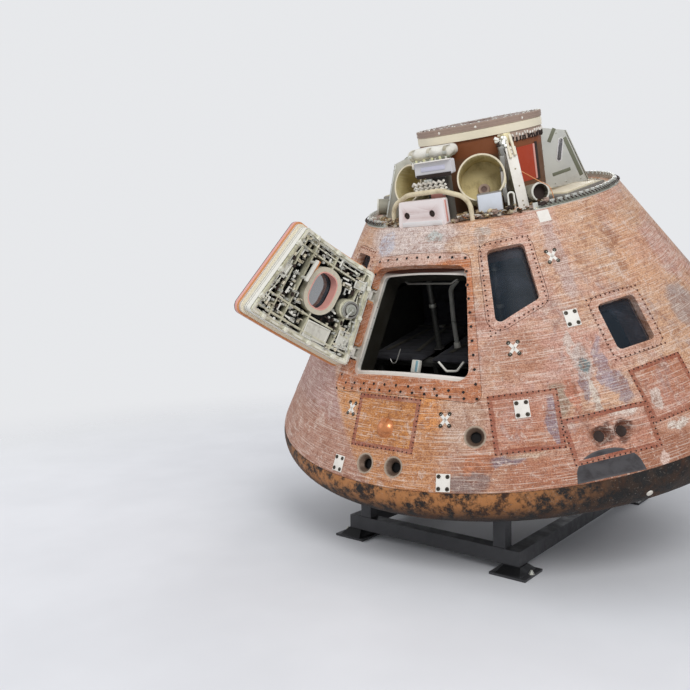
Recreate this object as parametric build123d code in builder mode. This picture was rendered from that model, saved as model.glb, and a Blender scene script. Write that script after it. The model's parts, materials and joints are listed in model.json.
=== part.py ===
"""Cone-shaped crew capsule, flown and weathered, leaning on its low steel display stand.

The capsule is drawn upright: its axis is Z, and the lowest point of the round heat shield is at zero.
The side hatch faces -Y. An offset is an angle round the axis, measured from the hatch's centre, towards +X.
At the end every capsule piece leans by one placement, so the origin lies on the floor, amid the stand's bolts.
"""
from build123d import *
from math import asin, atan2, cos, degrees, radians, sin, sqrt, tan
import os

os.makedirs("parts", exist_ok=True)

# Outer shape, in millimetres and degrees
SHIELD_SPHERE_R = 4694.0
CORNER_R = 195.6
GREATEST_D = 3911.6
CONE_HALF_ANGLE = 33.0
SEAM_RISE = 70.7
DECK_Z = 2124.0
SHIELD_WALL = 110.0
SKIN_WALL = 75.0
SEAM_CHAMFER = 7.0
SEAT_GAP = 0.3
OVERLAP = 1.0
LOOSE_FIT = 2.0
PANEL_GAP = 3.0
LEAST_CORNER_R = 10.0

# Cabin: the inner wall stands well inside the outer skin
CABIN_WALL_DEPTH = 205.0
CABIN_WALL = 40.0
FLOOR_THICK = 40.0

# Side hatch and the surround that is bolted round it
HATCH_LOW_Z = 1246.0
HATCH_HIGH_Z = 1895.0
HATCH_HALF_ANGLE = 19.0
HATCH_CORNER_R = 75.0
HATCH_GAP = 16.0
HATCH_SKIN = 42.0
HATCH_DEPTH = 165.0
HATCH_RIM = 34.0
SURROUND_LOW_Z = 1140.0
SURROUND_HIGH_Z = 1965.0
SURROUND_LOW_ANGLE = 22.0
SURROUND_HIGH_ANGLE = 20.3
SURROUND_CORNER_R = 60.0
FRAME_FLANGE = 20.0
FRAME_FLANGE_REACH = 30.0
FRAME_SILL = 30.0
FRAME_STANDS_IN = 12.0
HATCH_OPEN_ANGLE = 103.0
HATCH_WINDOW_W = 200.0
HATCH_WINDOW_H = 262.0
PANE_THICK = 18.0

# Hinge: two arms on one axis that runs beside the opening, along its left edge
HINGE_OFFSET = -21.2
HINGE_DEPTH = 40.0
HINGE_ARM_HEIGHTS = (-265.0, 165.0)
HINGE_ARM_WIDE = 56.0
HINGE_ARM_THICK = 20.0
HINGE_ARM_DROP = 18.0
HINGE_ARM_REACH = 180.0
HINGE_ARM_START = 6.0
HINGE_LUG_WIDE = 16.0
HINGE_LUG_REACH = 56.0
HINGE_SIDE_GAP = 1.0
HINGE_SWING_CLEARANCE = 6.0
KNUCKLE_R = 20.0
PIN_R = 10.0
PIN_CLEARANCE = 0.08
POCKET_CLEARANCE = 12.0
HINGE_POCKET_AT = (40.0, -60.0)
HINGE_POCKET_EXTRA = 80.0
HINGE_POCKET_TALL = 200.0

# Windows, each with its own plane: offset and height of the centre
SIDE_WINDOW_OFFSET = 59.6
SIDE_WINDOW_Z = 1385.0
SIDE_WINDOW_W = 290.0
SIDE_WINDOW_H = 318.0
RENDEZVOUS_OFFSET = 32.4
RENDEZVOUS_Z = 1750.0
RENDEZVOUS_CORNERS = ((-128.0, 231.0), (112.0, 244.0), (151.0, -147.0), (-148.0, -285.0))
WINDOW_FRAME_W = 56.0
WINDOW_CORNER_R = 34.0
WINDOW_LINER = 20.0
PANE_DEPTH = 52.0
PANE_SEAT = 8.0

# Forward bay
TUNNEL_R = 450.0
TUNNEL_WALL = 26.0
TUNNEL_TOP_Z = 2732.0
COVER_THICK = 44.0
COVER_OVERHANG = 18.0
COLLAR_OVERHANG = 17.0
COLLAR_THICK = 60.0
DECK_THICK = 24.0
EDGE_RING_INSET = 29.0
EDGE_RING_TALL = 46.0
EDGE_RING_WALL = 16.0
EDGE_LIP = 22.0
EDGE_FLANGE_THICK = 8.0
EDGE_SLOTS = 96
EDGE_SLOT_W = 24.0
EDGE_SLOT_DEEP = 20.0
EDGE_RING_ENDS = (46.0, -24.0)
COLLAR_CHAMFER = 8.0
COVER_GROOVE_INSET = 40.0
COVER_GROOVE_W = 22.0
COVER_GROOVE_DEEP = 12.0
COVER_RECESS_R = 120.0
GUSSET_TURNS = (45.0, 135.0, -135.0, -45.0)
GUSSET_THICK = 28.0
GUSSET_INNER_Z = 2600.0
GUSSET_TOP_Z = 2540.0
GUSSET_TOP_REACH = 218.0
GUSSET_FOOT_INSET = 159.0

# Stand and the capsule's lean on it
LEAN_ANGLE = 16.0
LEAN_SHIFT_Y = 310.0
LEAN_LIFT = 540.0
FOOT_X = 660.0
FOOT_Y = 1110.0
FOOT_PLATE = 260.0
FOOT_PLATE_THICK = 16.0
FLOOR_BOLT_R = 11.0
BEAM = 100.0
BEAM_LOW = 60.0
POST = 90.0
POST_X = 560.0
POST_REACH = 1200.0
FOOT_BOLT_OUT = 112.0
FOOT_BOSS = 20.0
FOOT_TAPER_X = 40.0
FOOT_TAPER_Y = 10.0
PAD_THICK = 30.0
PAD_SIDE = 190.0

A = radians(CONE_HALF_ANGLE)
corner_centre_r = GREATEST_D / 2 - CORNER_R
corner_centre_z = SHIELD_SPHERE_R - sqrt((SHIELD_SPHERE_R - CORNER_R) ** 2 - corner_centre_r ** 2)
seam_z = corner_centre_z + SEAM_RISE
cone_foot_r = corner_centre_r + CORNER_R * cos(A)
cone_foot_z = corner_centre_z + CORNER_R * sin(A)


def skin_r(z, depth=0.0):
    """Radius, at height z, of the cone that lies a given depth under the outer skin."""
    return cone_foot_r - (z - cone_foot_z) * tan(A) - depth / cos(A)


rim_r = skin_r(DECK_Z)
collar_r = TUNNEL_R + COLLAR_OVERHANG
cover_r = TUNNEL_R + COVER_OVERHANG
edge_ring_r = rim_r - EDGE_RING_INSET


def skin_plane(offset, z, depth=0.0):
    """Plane that touches the cone: X runs round it, Y up the slope, Z outwards."""
    turn = radians(offset)
    r = skin_r(z) - depth * cos(A)
    return Plane(
        origin=(r * sin(turn), -r * cos(turn), z - depth * sin(A)),
        x_dir=(cos(turn), sin(turn), 0),
        z_dir=(cos(A) * sin(turn), -cos(A) * cos(turn), sin(A)),
    )


def radial_plane(offset, r=0.0, z=0.0):
    """Upright plane through the axis: X runs outwards, Y upwards."""
    turn = radians(offset)
    return Plane(
        origin=(r * sin(turn), -r * cos(turn), z),
        x_dir=(sin(turn), -cos(turn), 0),
        z_dir=(-cos(turn), -sin(turn), 0),
    )


def facing_plane(offset, r, z, tilt=0.0):
    """Plane that looks outwards from the axis, tipped up by tilt: X runs round, Y upwards."""
    turn = radians(offset)
    rise = radians(tilt)
    return Plane(
        origin=(r * sin(turn), -r * cos(turn), z),
        x_dir=(cos(turn), sin(turn), 0),
        z_dir=(cos(rise) * sin(turn), -cos(rise) * cos(turn), sin(rise)),
    )


def panel_corners(low_z, high_z, low_angle, high_angle, middle_z):
    """Corners of a panel centred on the hatch's line, at an offset either side of it, low and high."""
    return [
        (side * skin_r(z) * sin(radians(half_angle)), (z - middle_z) / cos(A))
        for z, half_angle, side in (
            (low_z, low_angle, -1), (low_z, low_angle, 1), (high_z, high_angle, 1), (high_z, high_angle, -1)
        )
    ]


def cone_shell(outer, inner, low_z=seam_z, high_z=DECK_Z):
    """Round shell between two depths under the skin."""
    with BuildPart() as shell:
        with BuildSketch(Plane.XZ):
            with BuildLine():
                Polyline(
                    (skin_r(low_z, outer), low_z),
                    (skin_r(high_z, outer), high_z),
                    (skin_r(high_z, inner), high_z),
                    (skin_r(low_z, inner), low_z),
                    close=True,
                )
            make_face()
        revolve(axis=Axis.Z)
    return shell.part


def prism(plane, corners, corner_r, grow, reach):
    """Straight-sided plug through the wall, on an outline that is grown or shrunk evenly."""
    with BuildPart() as plug:
        with BuildSketch(plane) as face:
            with BuildLine():
                Polyline(*corners, close=True)
            make_face()
            if grow:
                offset(amount=grow, kind=Kind.INTERSECTION)
            fillet(face.vertices(), max(corner_r + grow, LEAST_CORNER_R))
        extrude(amount=reach, both=True)
    return plug.part


def patch(plane, corners, corner_r, outer, inner, grow=0.0, hole=None, reach=330.0):
    """Piece of the cone's wall between two depths, inside an outline, with an optional hole."""
    shell = cone_shell(outer, inner)
    plug = prism(plane, corners, corner_r, grow, reach)
    with BuildPart() as piece:
        add(plug)
        add(shell, mode=Mode.INTERSECT)
        if hole:
            add(hole, mode=Mode.SUBTRACT)
    return piece.part


def inset(plane, corners, corner_r, deep, grow=0.0):
    """Flat-bottomed plug that is let into the skin from outside, down to a depth under its plane."""
    with BuildPart() as plug:
        with BuildSketch(plane.offset(-deep)) as face:
            with BuildLine():
                Polyline(*corners, close=True)
            make_face()
            if grow:
                offset(amount=grow, kind=Kind.INTERSECTION)
            fillet(face.vertices(), max(corner_r + grow, LEAST_CORNER_R))
        extrude(amount=deep + STANDS_OUT)
    return plug.part


def rectangle(wide, tall):
    """Corners of a rectangle about the middle."""
    return [(-wide / 2, -tall / 2), (wide / 2, -tall / 2), (wide / 2, tall / 2), (-wide / 2, tall / 2)]


# Outlines that several pieces share
hatch_middle_z = (HATCH_LOW_Z + HATCH_HIGH_Z) / 2
hatch_plane = skin_plane(0, hatch_middle_z)
hatch_corners = panel_corners(
    HATCH_LOW_Z, HATCH_HIGH_Z, HATCH_HALF_ANGLE, HATCH_HALF_ANGLE, hatch_middle_z
)
surround_corners = panel_corners(
    SURROUND_LOW_Z, SURROUND_HIGH_Z, SURROUND_LOW_ANGLE, SURROUND_HIGH_ANGLE, hatch_middle_z
)
THROUGH = 330.0

window_places = []
for side in (1, -1):
    plane = skin_plane(side * SIDE_WINDOW_OFFSET, SIDE_WINDOW_Z)
    window_places.append(("side", plane, rectangle(SIDE_WINDOW_W, SIDE_WINDOW_H)))
    plane = skin_plane(side * RENDEZVOUS_OFFSET, RENDEZVOUS_Z)
    window_places.append(("rendezvous", plane, [(side * u, v) for u, v in RENDEZVOUS_CORNERS]))

# Hinge frame: Z along the axis, X towards the hatch, Y into the capsule
hinge_seat = skin_plane(HINGE_OFFSET, hatch_middle_z, HINGE_DEPTH)
hinge_turn = radians(-HATCH_HALF_ANGLE)
hinge_dir = Vector(-sin(hinge_turn) * sin(A), cos(hinge_turn) * sin(A), cos(A))
hinge_right = hinge_dir.cross(hinge_seat.z_dir).normalized()
hinge_plane = Plane(origin=hinge_seat.origin, x_dir=hinge_right, z_dir=hinge_dir)
hinge_axis = Axis(hinge_seat.origin, hinge_dir)

# The hatch's edge stays this far from the hinge axis, so that it swings past the surround's edge
def skin_drop(x, y):
    """How far the skin lies under the hatch's plane, at a place given across and up the slope."""
    reach = (skin_r(hatch_middle_z) - y * sin(A)) / cos(A)
    bend = 1 - tan(A) ** 2
    return (reach - sqrt(reach ** 2 - bend * x ** 2)) / bend


opening_edge = [hatch_plane.from_local_coords((x, y, -skin_drop(x, y))) for x, y in hatch_corners if x < 0]
swing_r = HINGE_SWING_CLEARANCE + max(
    (point - hinge_seat.origin).cross(hinge_dir).length for point in opening_edge
)
with BuildPart() as swing_relief:
    with BuildSketch(hinge_plane):
        Circle(swing_r)
    extrude(amount=HATCH_HIGH_Z - HATCH_LOW_Z, both=True)

# Small parts on the skin: offset, height of the centre, width, height
ACCESS_PANELS = (
    (-1.6, 980.0, 480.0, 330.0),
    (30.1, 979.0, 398.0, 340.0),
    (61.5, 990.0, 384.0, 330.0),
    (-61.5, 990.0, 384.0, 330.0),
    (118.0, 979.0, 398.0, 340.0),
    (-118.0, 979.0, 398.0, 340.0),
)
THRUSTER_PANELS = ((46.0, 850.0), (-134.0, 850.0))
THRUSTER_PANEL_W = 524.0
THRUSTER_PANEL_H = 258.0
ROUND_NOZZLES = ((-4.6, 738.0), (2.5, 744.0), (19.7, 920.0))
THRUSTER_SPREAD = 2.2
THRUSTER_SHIFT = 22.0
THRUSTER_MOUTH_RX = 92.0
THRUSTER_MOUTH_RY = 66.0
THRUSTER_MOUTH_LIFT = 20.0
THRUSTER_THROAT_R = 34.0
THRUSTER_THROAT_DEPTH = 42.0
NOZZLE_R = 70.0
NOZZLE_LIP = 10.0
NOZZLE_THROAT_R = 34.0
NOZZLE_DISH_DEPTH = 34.0
NOZZLE_THROAT_DEEP = 18.0
NOZZLE_SEAT = 10.0
PAD_PLACES = (
    (46.3, 1842.0), (45.8, 1478.0), (29.9, 1372.0), (13.3, 1013.0), (29.7, 1046.0),
    (13.4, 683.0), (-12.4, 1024.0), (-11.9, 698.0),
)
PLATE_W = 92.0
PLATE_H = 112.0
PLATE_THICK = 8.0
PLATE_CORNER_R = 6.0
PANEL_THICK = 34.0
THRUSTER_PANEL_THICK = 56.0
STANDS_OUT = 40.0
PANEL_CORNER_R = 14.0

# The aft heat shield: part of a sphere that turns into the cone round a tight corner
seam_angle = degrees(asin(SEAM_RISE / CORNER_R))
inner_corner_r = CORNER_R - SHIELD_WALL
inner_seam_angle = degrees(asin(SEAM_RISE / inner_corner_r))
rim_angle = -degrees(asin((SHIELD_SPHERE_R - corner_centre_z) / (SHIELD_SPHERE_R - CORNER_R)))
with BuildPart() as aft_heat_shield:
    with BuildSketch(Plane.XZ):
        with BuildLine():
            belly = CenterArc((0, SHIELD_SPHERE_R), SHIELD_SPHERE_R, -90, 90 + rim_angle)
            rim = CenterArc((corner_centre_r, corner_centre_z), CORNER_R, rim_angle, seam_angle - rim_angle)
            inner_rim = CenterArc(
                (corner_centre_r, corner_centre_z), inner_corner_r, rim_angle, inner_seam_angle - rim_angle
            )
            inner_belly = CenterArc(
                (0, SHIELD_SPHERE_R), SHIELD_SPHERE_R - SHIELD_WALL, -90, 90 + rim_angle
            )
            Line(rim @ 1, inner_rim @ 1)
            Line(belly @ 0, inner_belly @ 0)
        make_face()
    revolve(axis=Axis.Z)
    chamfer(aft_heat_shield.edges().group_by(Axis.Z)[-1].sort_by(SortBy.LENGTH)[-1], SEAM_CHAMFER)

# The crew heat shield: the cone's skin, cut where hatch, windows and panels are
skin_cuts = [prism(hatch_plane, surround_corners, SURROUND_CORNER_R, PANEL_GAP, THROUGH)]
for kind, plane, corners in window_places:
    skin_cuts.append(prism(plane, corners, WINDOW_CORNER_R, WINDOW_FRAME_W + PANEL_GAP, THROUGH))
for turn, z, wide, tall in ACCESS_PANELS:
    skin_cuts.append(inset(skin_plane(turn, z), rectangle(wide, tall), PANEL_CORNER_R, PANEL_THICK, PANEL_GAP))
for turn, z in THRUSTER_PANELS:
    outline = rectangle(THRUSTER_PANEL_W, THRUSTER_PANEL_H)
    skin_cuts.append(inset(skin_plane(turn, z), outline, PANEL_CORNER_R, THRUSTER_PANEL_THICK, PANEL_GAP))

# Pockets for the hinge arms, cut through surround and skin alike
with BuildPart() as hinge_pockets:
    for height in HINGE_ARM_HEIGHTS:
        with BuildSketch(hinge_plane.offset(height)):
            with Locations(HINGE_POCKET_AT):
                Rectangle(2 * (KNUCKLE_R + POCKET_CLEARANCE) + HINGE_POCKET_EXTRA, HINGE_POCKET_TALL)
        extrude(amount=HINGE_ARM_WIDE / 2 + HINGE_LUG_WIDE + POCKET_CLEARANCE, both=True)
with BuildPart() as nozzle_holes:
    for turn, z in ROUND_NOZZLES:
        with BuildSketch(skin_plane(turn, z)):
            Circle(NOZZLE_R + SEAT_GAP)
        extrude(amount=SKIN_WALL - NOZZLE_SEAT, both=True)
with BuildPart() as crew_heat_shield:
    with BuildSketch(Plane.XZ):
        with BuildLine():
            rim = CenterArc(
                (corner_centre_r, corner_centre_z), CORNER_R, seam_angle, CONE_HALF_ANGLE - seam_angle
            )
            Polyline(
                rim @ 1,
                (skin_r(DECK_Z), DECK_Z),
                (skin_r(DECK_Z, SKIN_WALL), DECK_Z),
                (skin_r(seam_z, SKIN_WALL), seam_z),
                rim @ 0,
            )
        make_face()
    revolve(axis=Axis.Z)
    chamfer(crew_heat_shield.edges().group_by(Axis.Z)[0].sort_by(SortBy.LENGTH)[-1], SEAM_CHAMFER)
    add([*skin_cuts, hinge_pockets.part, nozzle_holes.part], mode=Mode.SUBTRACT)

# Panels let into the skin, flush with it
panel_skin = cone_shell(0, 2 * SKIN_WALL)
with BuildPart() as access_panels:
    for turn, z, wide, tall in ACCESS_PANELS:
        add(inset(skin_plane(turn, z), rectangle(wide, tall), PANEL_CORNER_R, PANEL_THICK))
    add(panel_skin, mode=Mode.INTERSECT)

# Roll thruster pairs: thick panels with two scarfed nozzles that meet in a heart-shaped hollow
with BuildPart() as roll_thruster_panels:
    for turn, z in THRUSTER_PANELS:
        outline = rectangle(THRUSTER_PANEL_W, THRUSTER_PANEL_H)
        add(inset(skin_plane(turn, z), outline, PANEL_CORNER_R, THRUSTER_PANEL_THICK))
    add(panel_skin, mode=Mode.INTERSECT)
    for turn, z in THRUSTER_PANELS:
        for side in (-1, 1):
            tangent = skin_plane(turn + side * THRUSTER_SPREAD, z)
            with BuildSketch(tangent.offset(THRUSTER_MOUTH_LIFT)):
                with Locations((side * THRUSTER_SHIFT, 0)):
                    Ellipse(THRUSTER_MOUTH_RX, THRUSTER_MOUTH_RY)
            with BuildSketch(tangent.offset(-THRUSTER_THROAT_DEPTH)):
                Circle(THRUSTER_THROAT_R)
            loft(mode=Mode.SUBTRACT)

# Round nozzles, each a dished cup with a dark throat
with BuildPart() as round_nozzles:
    for turn, z in ROUND_NOZZLES:
        tangent = skin_plane(turn, z)
        with BuildSketch(tangent.offset(NOZZLE_SEAT - SKIN_WALL)):
            Circle(NOZZLE_R)
        extrude(amount=SKIN_WALL - NOZZLE_SEAT)
        with BuildSketch(tangent.offset(SEAT_GAP)):
            Circle(NOZZLE_R - NOZZLE_LIP)
        with BuildSketch(tangent.offset(-NOZZLE_DISH_DEPTH)):
            Circle(NOZZLE_THROAT_R)
        loft(mode=Mode.SUBTRACT)
        with BuildSketch(tangent.offset(-NOZZLE_DISH_DEPTH)):
            Circle(NOZZLE_THROAT_R)
        extrude(amount=-NOZZLE_THROAT_DEEP, mode=Mode.SUBTRACT)

# Small plates with four bolts
with BuildPart() as bolt_plates:
    for turn, z in PAD_PLACES:
        outline = rectangle(PLATE_W, PLATE_H)
        add(patch(skin_plane(turn, z), outline, PLATE_CORNER_R, -PLATE_THICK, -SEAT_GAP))

# Vented dome on the square panel under the hatch, with a hooded notch on its upper side
DOME_AT = (-1.0, 949.0)
DOME_R = 66.0
DOME_RISE = 40.0
DOME_SINK = 3.0
HOOD_W = 44.0
HOOD_TALL = 40.0
HOOD_Y = 40.0
HOOD_WALL = 7.0
HOOD_RISE = 32.0
dome_plane = skin_plane(*DOME_AT)
dome_sphere_r = (DOME_R ** 2 + DOME_RISE ** 2) / (2 * DOME_RISE)
with BuildPart() as vent_dome:
    with BuildSketch(dome_plane.offset(-DOME_SINK)):
        Circle(DOME_R)
    extrude(amount=DOME_RISE + DOME_SINK)
    with Locations(dome_plane.offset(DOME_RISE - dome_sphere_r).origin):
        Sphere(dome_sphere_r, mode=Mode.INTERSECT)
    with BuildSketch(dome_plane.offset(-DOME_SINK)):
        with Locations((0, HOOD_Y)):
            Rectangle(HOOD_W, HOOD_TALL)
    extrude(amount=HOOD_RISE + DOME_SINK)
    with BuildSketch(dome_plane.offset(HOOD_WALL)):
        with Locations((0, HOOD_Y + HOOD_WALL)):
            Rectangle(HOOD_W - 2 * HOOD_WALL, HOOD_TALL)
    extrude(amount=HOOD_RISE - 2 * HOOD_WALL, mode=Mode.SUBTRACT)
    add(cone_shell(-SEAT_GAP, SKIN_WALL), mode=Mode.SUBTRACT)

# Bolted surround of the side hatch
hatch_hole = prism(hatch_plane, hatch_corners, HATCH_CORNER_R, 0, THROUGH)
with BuildPart() as hatch_surround:
    add(patch(hatch_plane, surround_corners, SURROUND_CORNER_R, 0, SKIN_WALL, 0, hatch_hole))
    add(hinge_pockets.part, mode=Mode.SUBTRACT)

# Hatch frame: a flange under the surround, a deep sill, and the fixed lugs and pins of the hinge
sill_hole = prism(hatch_plane, hatch_corners, HATCH_CORNER_R, -FRAME_SILL, THROUGH)
cabin_inner_depth = CABIN_WALL_DEPTH + CABIN_WALL
flange_depth = SKIN_WALL + SEAT_GAP
lug_from = HINGE_ARM_WIDE / 2 + HINGE_SIDE_GAP
with BuildPart() as hatch_frame:
    add(patch(hatch_plane, surround_corners, SURROUND_CORNER_R, flange_depth, flange_depth + FRAME_FLANGE,
              FRAME_FLANGE_REACH, sill_hole))
    add(patch(hatch_plane, hatch_corners, HATCH_CORNER_R, flange_depth + FRAME_FLANGE - OVERLAP,
              cabin_inner_depth + FRAME_STANDS_IN, -LOOSE_FIT, sill_hole))
    for height in HINGE_ARM_HEIGHTS:
        for side in (-1, 1):
            with BuildSketch(hinge_plane.offset(height + side * lug_from)):
                Circle(KNUCKLE_R)
                with Locations((0, HINGE_LUG_REACH / 2)):
                    Rectangle(2 * KNUCKLE_R, HINGE_LUG_REACH)
            extrude(amount=side * HINGE_LUG_WIDE)
        with BuildSketch(hinge_plane.offset(height)):
            Circle(PIN_R)
        extrude(amount=lug_from + HINGE_LUG_WIDE, both=True)

# Windows: bolted frames with a deep liner, and their panes
window_frames = {"rendezvous": [], "side": []}
panes = []
for kind, plane, corners in window_places:
    sight = prism(plane, corners, WINDOW_CORNER_R, 0, THROUGH)
    pane = patch(plane, corners, WINDOW_CORNER_R, PANE_DEPTH, PANE_DEPTH + PANE_THICK, PANE_SEAT)
    face = patch(plane, corners, WINDOW_CORNER_R, 0, SKIN_WALL, WINDOW_FRAME_W, sight)
    liner = patch(plane, corners, WINDOW_CORNER_R, SKIN_WALL - OVERLAP, cabin_inner_depth, WINDOW_LINER, sight)
    window_frames[kind].append((face, liner, pane))
    panes.append(pane)
with BuildPart() as rendezvous_window_frames:
    for face, liner, pane in window_frames["rendezvous"]:
        add(face)
        add(liner)
        add(pane, mode=Mode.SUBTRACT)
with BuildPart() as side_window_frames:
    for face, liner, pane in window_frames["side"]:
        add(face)
        add(liner)
        add(pane, mode=Mode.SUBTRACT)
with BuildPart() as window_panes:
    for pane in panes:
        add(pane)

# Cabin wall: a cone with a flat ceiling, open to the tunnel, cut for hatch frame and windows
floor_top = seam_z + FLOOR_THICK
ceiling_r = skin_r(DECK_Z - DECK_THICK, CABIN_WALL_DEPTH)
wall_cuts = [prism(hatch_plane, hatch_corners, HATCH_CORNER_R, SEAT_GAP - LOOSE_FIT, THROUGH)]
for kind, plane, corners in window_places:
    wall_cuts.append(prism(plane, corners, WINDOW_CORNER_R, WINDOW_LINER + SEAT_GAP, THROUGH))
with BuildPart() as cabin_wall:
    with BuildSketch(Plane.XZ):
        with BuildLine():
            Polyline(
                (skin_r(floor_top, CABIN_WALL_DEPTH), floor_top),
                (ceiling_r, DECK_Z - DECK_THICK),
                (TUNNEL_R - TUNNEL_WALL, DECK_Z - DECK_THICK),
                (TUNNEL_R - TUNNEL_WALL, DECK_Z - DECK_THICK - CABIN_WALL),
                (skin_r(DECK_Z - DECK_THICK - CABIN_WALL, cabin_inner_depth), DECK_Z - DECK_THICK - CABIN_WALL),
                (skin_r(floor_top, cabin_inner_depth), floor_top),
                close=True,
            )
        make_face()
    revolve(axis=Axis.Z)
    add(wall_cuts, mode=Mode.SUBTRACT)

with BuildPart() as cabin_floor:
    with BuildSketch(Plane.XZ):
        with BuildLine():
            Polyline(
                (0, seam_z),
                (skin_r(seam_z, SKIN_WALL) - LOOSE_FIT, seam_z),
                (skin_r(floor_top, SKIN_WALL) - LOOSE_FIT, floor_top),
                (0, floor_top),
                close=True,
            )
        make_face()
    revolve(axis=Axis.Z)

# Forward bay: deck, slotted edge ring, tunnel with collar and cover
with BuildPart() as forward_deck:
    with BuildSketch(Plane.XZ):
        with BuildLine():
            Polyline(
                (TUNNEL_R - TUNNEL_WALL, DECK_Z - DECK_THICK),
                (skin_r(DECK_Z - DECK_THICK, SKIN_WALL + SEAT_GAP), DECK_Z - DECK_THICK),
                (skin_r(DECK_Z, SKIN_WALL + SEAT_GAP), DECK_Z),
                (TUNNEL_R - TUNNEL_WALL, DECK_Z),
                close=True,
            )
        make_face()
    revolve(axis=Axis.Z)

with BuildPart() as deck_edge_ring:
    with BuildSketch(Plane.XY.offset(DECK_Z)):
        Circle(edge_ring_r + EDGE_LIP)
        Circle(edge_ring_r - EDGE_RING_WALL, mode=Mode.SUBTRACT)
    extrude(amount=EDGE_FLANGE_THICK)
    with BuildSketch(Plane.XY.offset(DECK_Z)):
        Circle(edge_ring_r)
        Circle(edge_ring_r - EDGE_RING_WALL, mode=Mode.SUBTRACT)
    extrude(amount=EDGE_RING_TALL)
    with BuildSketch(Plane.XY.offset(DECK_Z + EDGE_RING_TALL)):
        with PolarLocations(edge_ring_r - EDGE_RING_WALL / 2, EDGE_SLOTS):
            Rectangle(3 * EDGE_RING_WALL, EDGE_SLOT_W)
    extrude(amount=-EDGE_SLOT_DEEP, mode=Mode.SUBTRACT)
    with BuildSketch(Plane.XY.offset(DECK_Z)):
        with BuildLine():
            Polyline(
                (0, 0),
                *[(GREATEST_D * sin(end), -GREATEST_D * cos(end)) for end in map(radians, EDGE_RING_ENDS)],
                close=True,
            )
        make_face()
    extrude(amount=EDGE_RING_TALL, mode=Mode.SUBTRACT)

collar_low = TUNNEL_TOP_Z - COVER_THICK - COLLAR_THICK
with BuildPart() as tunnel_wall:
    with BuildSketch(Plane.XY.offset(DECK_Z)):
        Circle(TUNNEL_R)
        Circle(TUNNEL_R - TUNNEL_WALL, mode=Mode.SUBTRACT)
    extrude(amount=collar_low - DECK_Z)
with BuildPart() as tunnel_collar:
    with BuildSketch(Plane.XY.offset(collar_low)):
        Circle(collar_r)
        Circle(TUNNEL_R - TUNNEL_WALL, mode=Mode.SUBTRACT)
    extrude(amount=COLLAR_THICK)
    chamfer(tunnel_collar.edges().group_by(Axis.Z)[-1].sort_by(SortBy.LENGTH)[-1], COLLAR_CHAMFER)
with BuildPart() as tunnel_cover:
    with BuildSketch(Plane.XY.offset(TUNNEL_TOP_Z - COVER_THICK)):
        Circle(cover_r)
    extrude(amount=COVER_THICK)
    with BuildSketch(Plane.XY.offset(TUNNEL_TOP_Z)):
        Circle(cover_r - COVER_GROOVE_INSET)
        Circle(cover_r - COVER_GROOVE_INSET - COVER_GROOVE_W, mode=Mode.SUBTRACT)
        Circle(COVER_RECESS_R)
    extrude(amount=-COVER_GROOVE_DEEP, mode=Mode.SUBTRACT)

with BuildPart() as gussets:
    for turn in GUSSET_TURNS:
        with BuildSketch(radial_plane(turn)):
            with BuildLine():
                Polyline(
                    (TUNNEL_R + SEAT_GAP, DECK_Z),
                    (rim_r - GUSSET_FOOT_INSET, DECK_Z),
                    (TUNNEL_R + GUSSET_TOP_REACH, GUSSET_TOP_Z),
                    (TUNNEL_R + SEAT_GAP, GUSSET_INNER_Z),
                    close=True,
                )
            make_face()
        extrude(amount=GUSSET_THICK / 2, both=True)

# Mortar cups on the deck: offset, inset of the mouth from the cone's rim, its height, tilt, radius, length
CUPS = (
    (26.6, 184.0, 2384.0, 18.0, 160.0, 230.0),
    (-14.0, 174.0, 2406.0, 18.0, 138.0, 220.0),
)
PILOT_TUBES = (
    (52.5, 114.0, 2222.0, 8.0, 63.0, 170.0),
    (-60.0, 114.0, 2222.0, 8.0, 63.0, 170.0),
    (170.0, 114.0, 2222.0, 8.0, 63.0, 170.0),
)
CUP_WALL = 9.0
CUP_FOOT_BACK = 60.0
CUP_FOOT_W = 90.0


def mortars(rows):
    """Cups that look outwards from the deck, each on a foot under its middle."""
    with BuildPart() as cups:
        for turn, inset_r, z, tilt, cup_r, deep in rows:
            mouth = facing_plane(turn, rim_r - inset_r, z, tilt)
            with BuildSketch(facing_plane(turn, rim_r - inset_r - CUP_FOOT_BACK, DECK_Z)):
                with Locations((0, (z - DECK_Z) / 2)):
                    Rectangle(CUP_FOOT_W, z - DECK_Z)
            extrude(amount=-deep / 2)
            with BuildSketch(mouth):
                Circle(cup_r)
            extrude(amount=-deep)
            with BuildSketch(mouth):
                Circle(cup_r - CUP_WALL)
            extrude(amount=-(deep - 3 * CUP_WALL), mode=Mode.SUBTRACT)
    return cups


drogue_mortars = mortars(CUPS)
pilot_mortars = mortars(PILOT_TUBES)

# Curved bail over the thruster box, and the box itself with its two pitch nozzles
BAIL_R = 17.0
BAIL_INSET = 66.0
BAIL_BEND_R = 120.0
BAIL_TURNS = ((-19.5, DECK_Z), (-19.5, 2268.0), (-8.0, 2344.0), (9.0, 2350.0), (21.0, 2275.0), (21.0, DECK_Z))
bail_points = [radial_plane(turn).from_local_coords((rim_r - BAIL_INSET, z, 0)) for turn, z in BAIL_TURNS]
with BuildPart() as recovery_bail:
    with BuildLine() as bail_path:
        FilletPolyline(*bail_points, radius=BAIL_BEND_R)
    with BuildSketch(bail_path.line ^ 0):
        Circle(BAIL_R)
    sweep()

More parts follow.
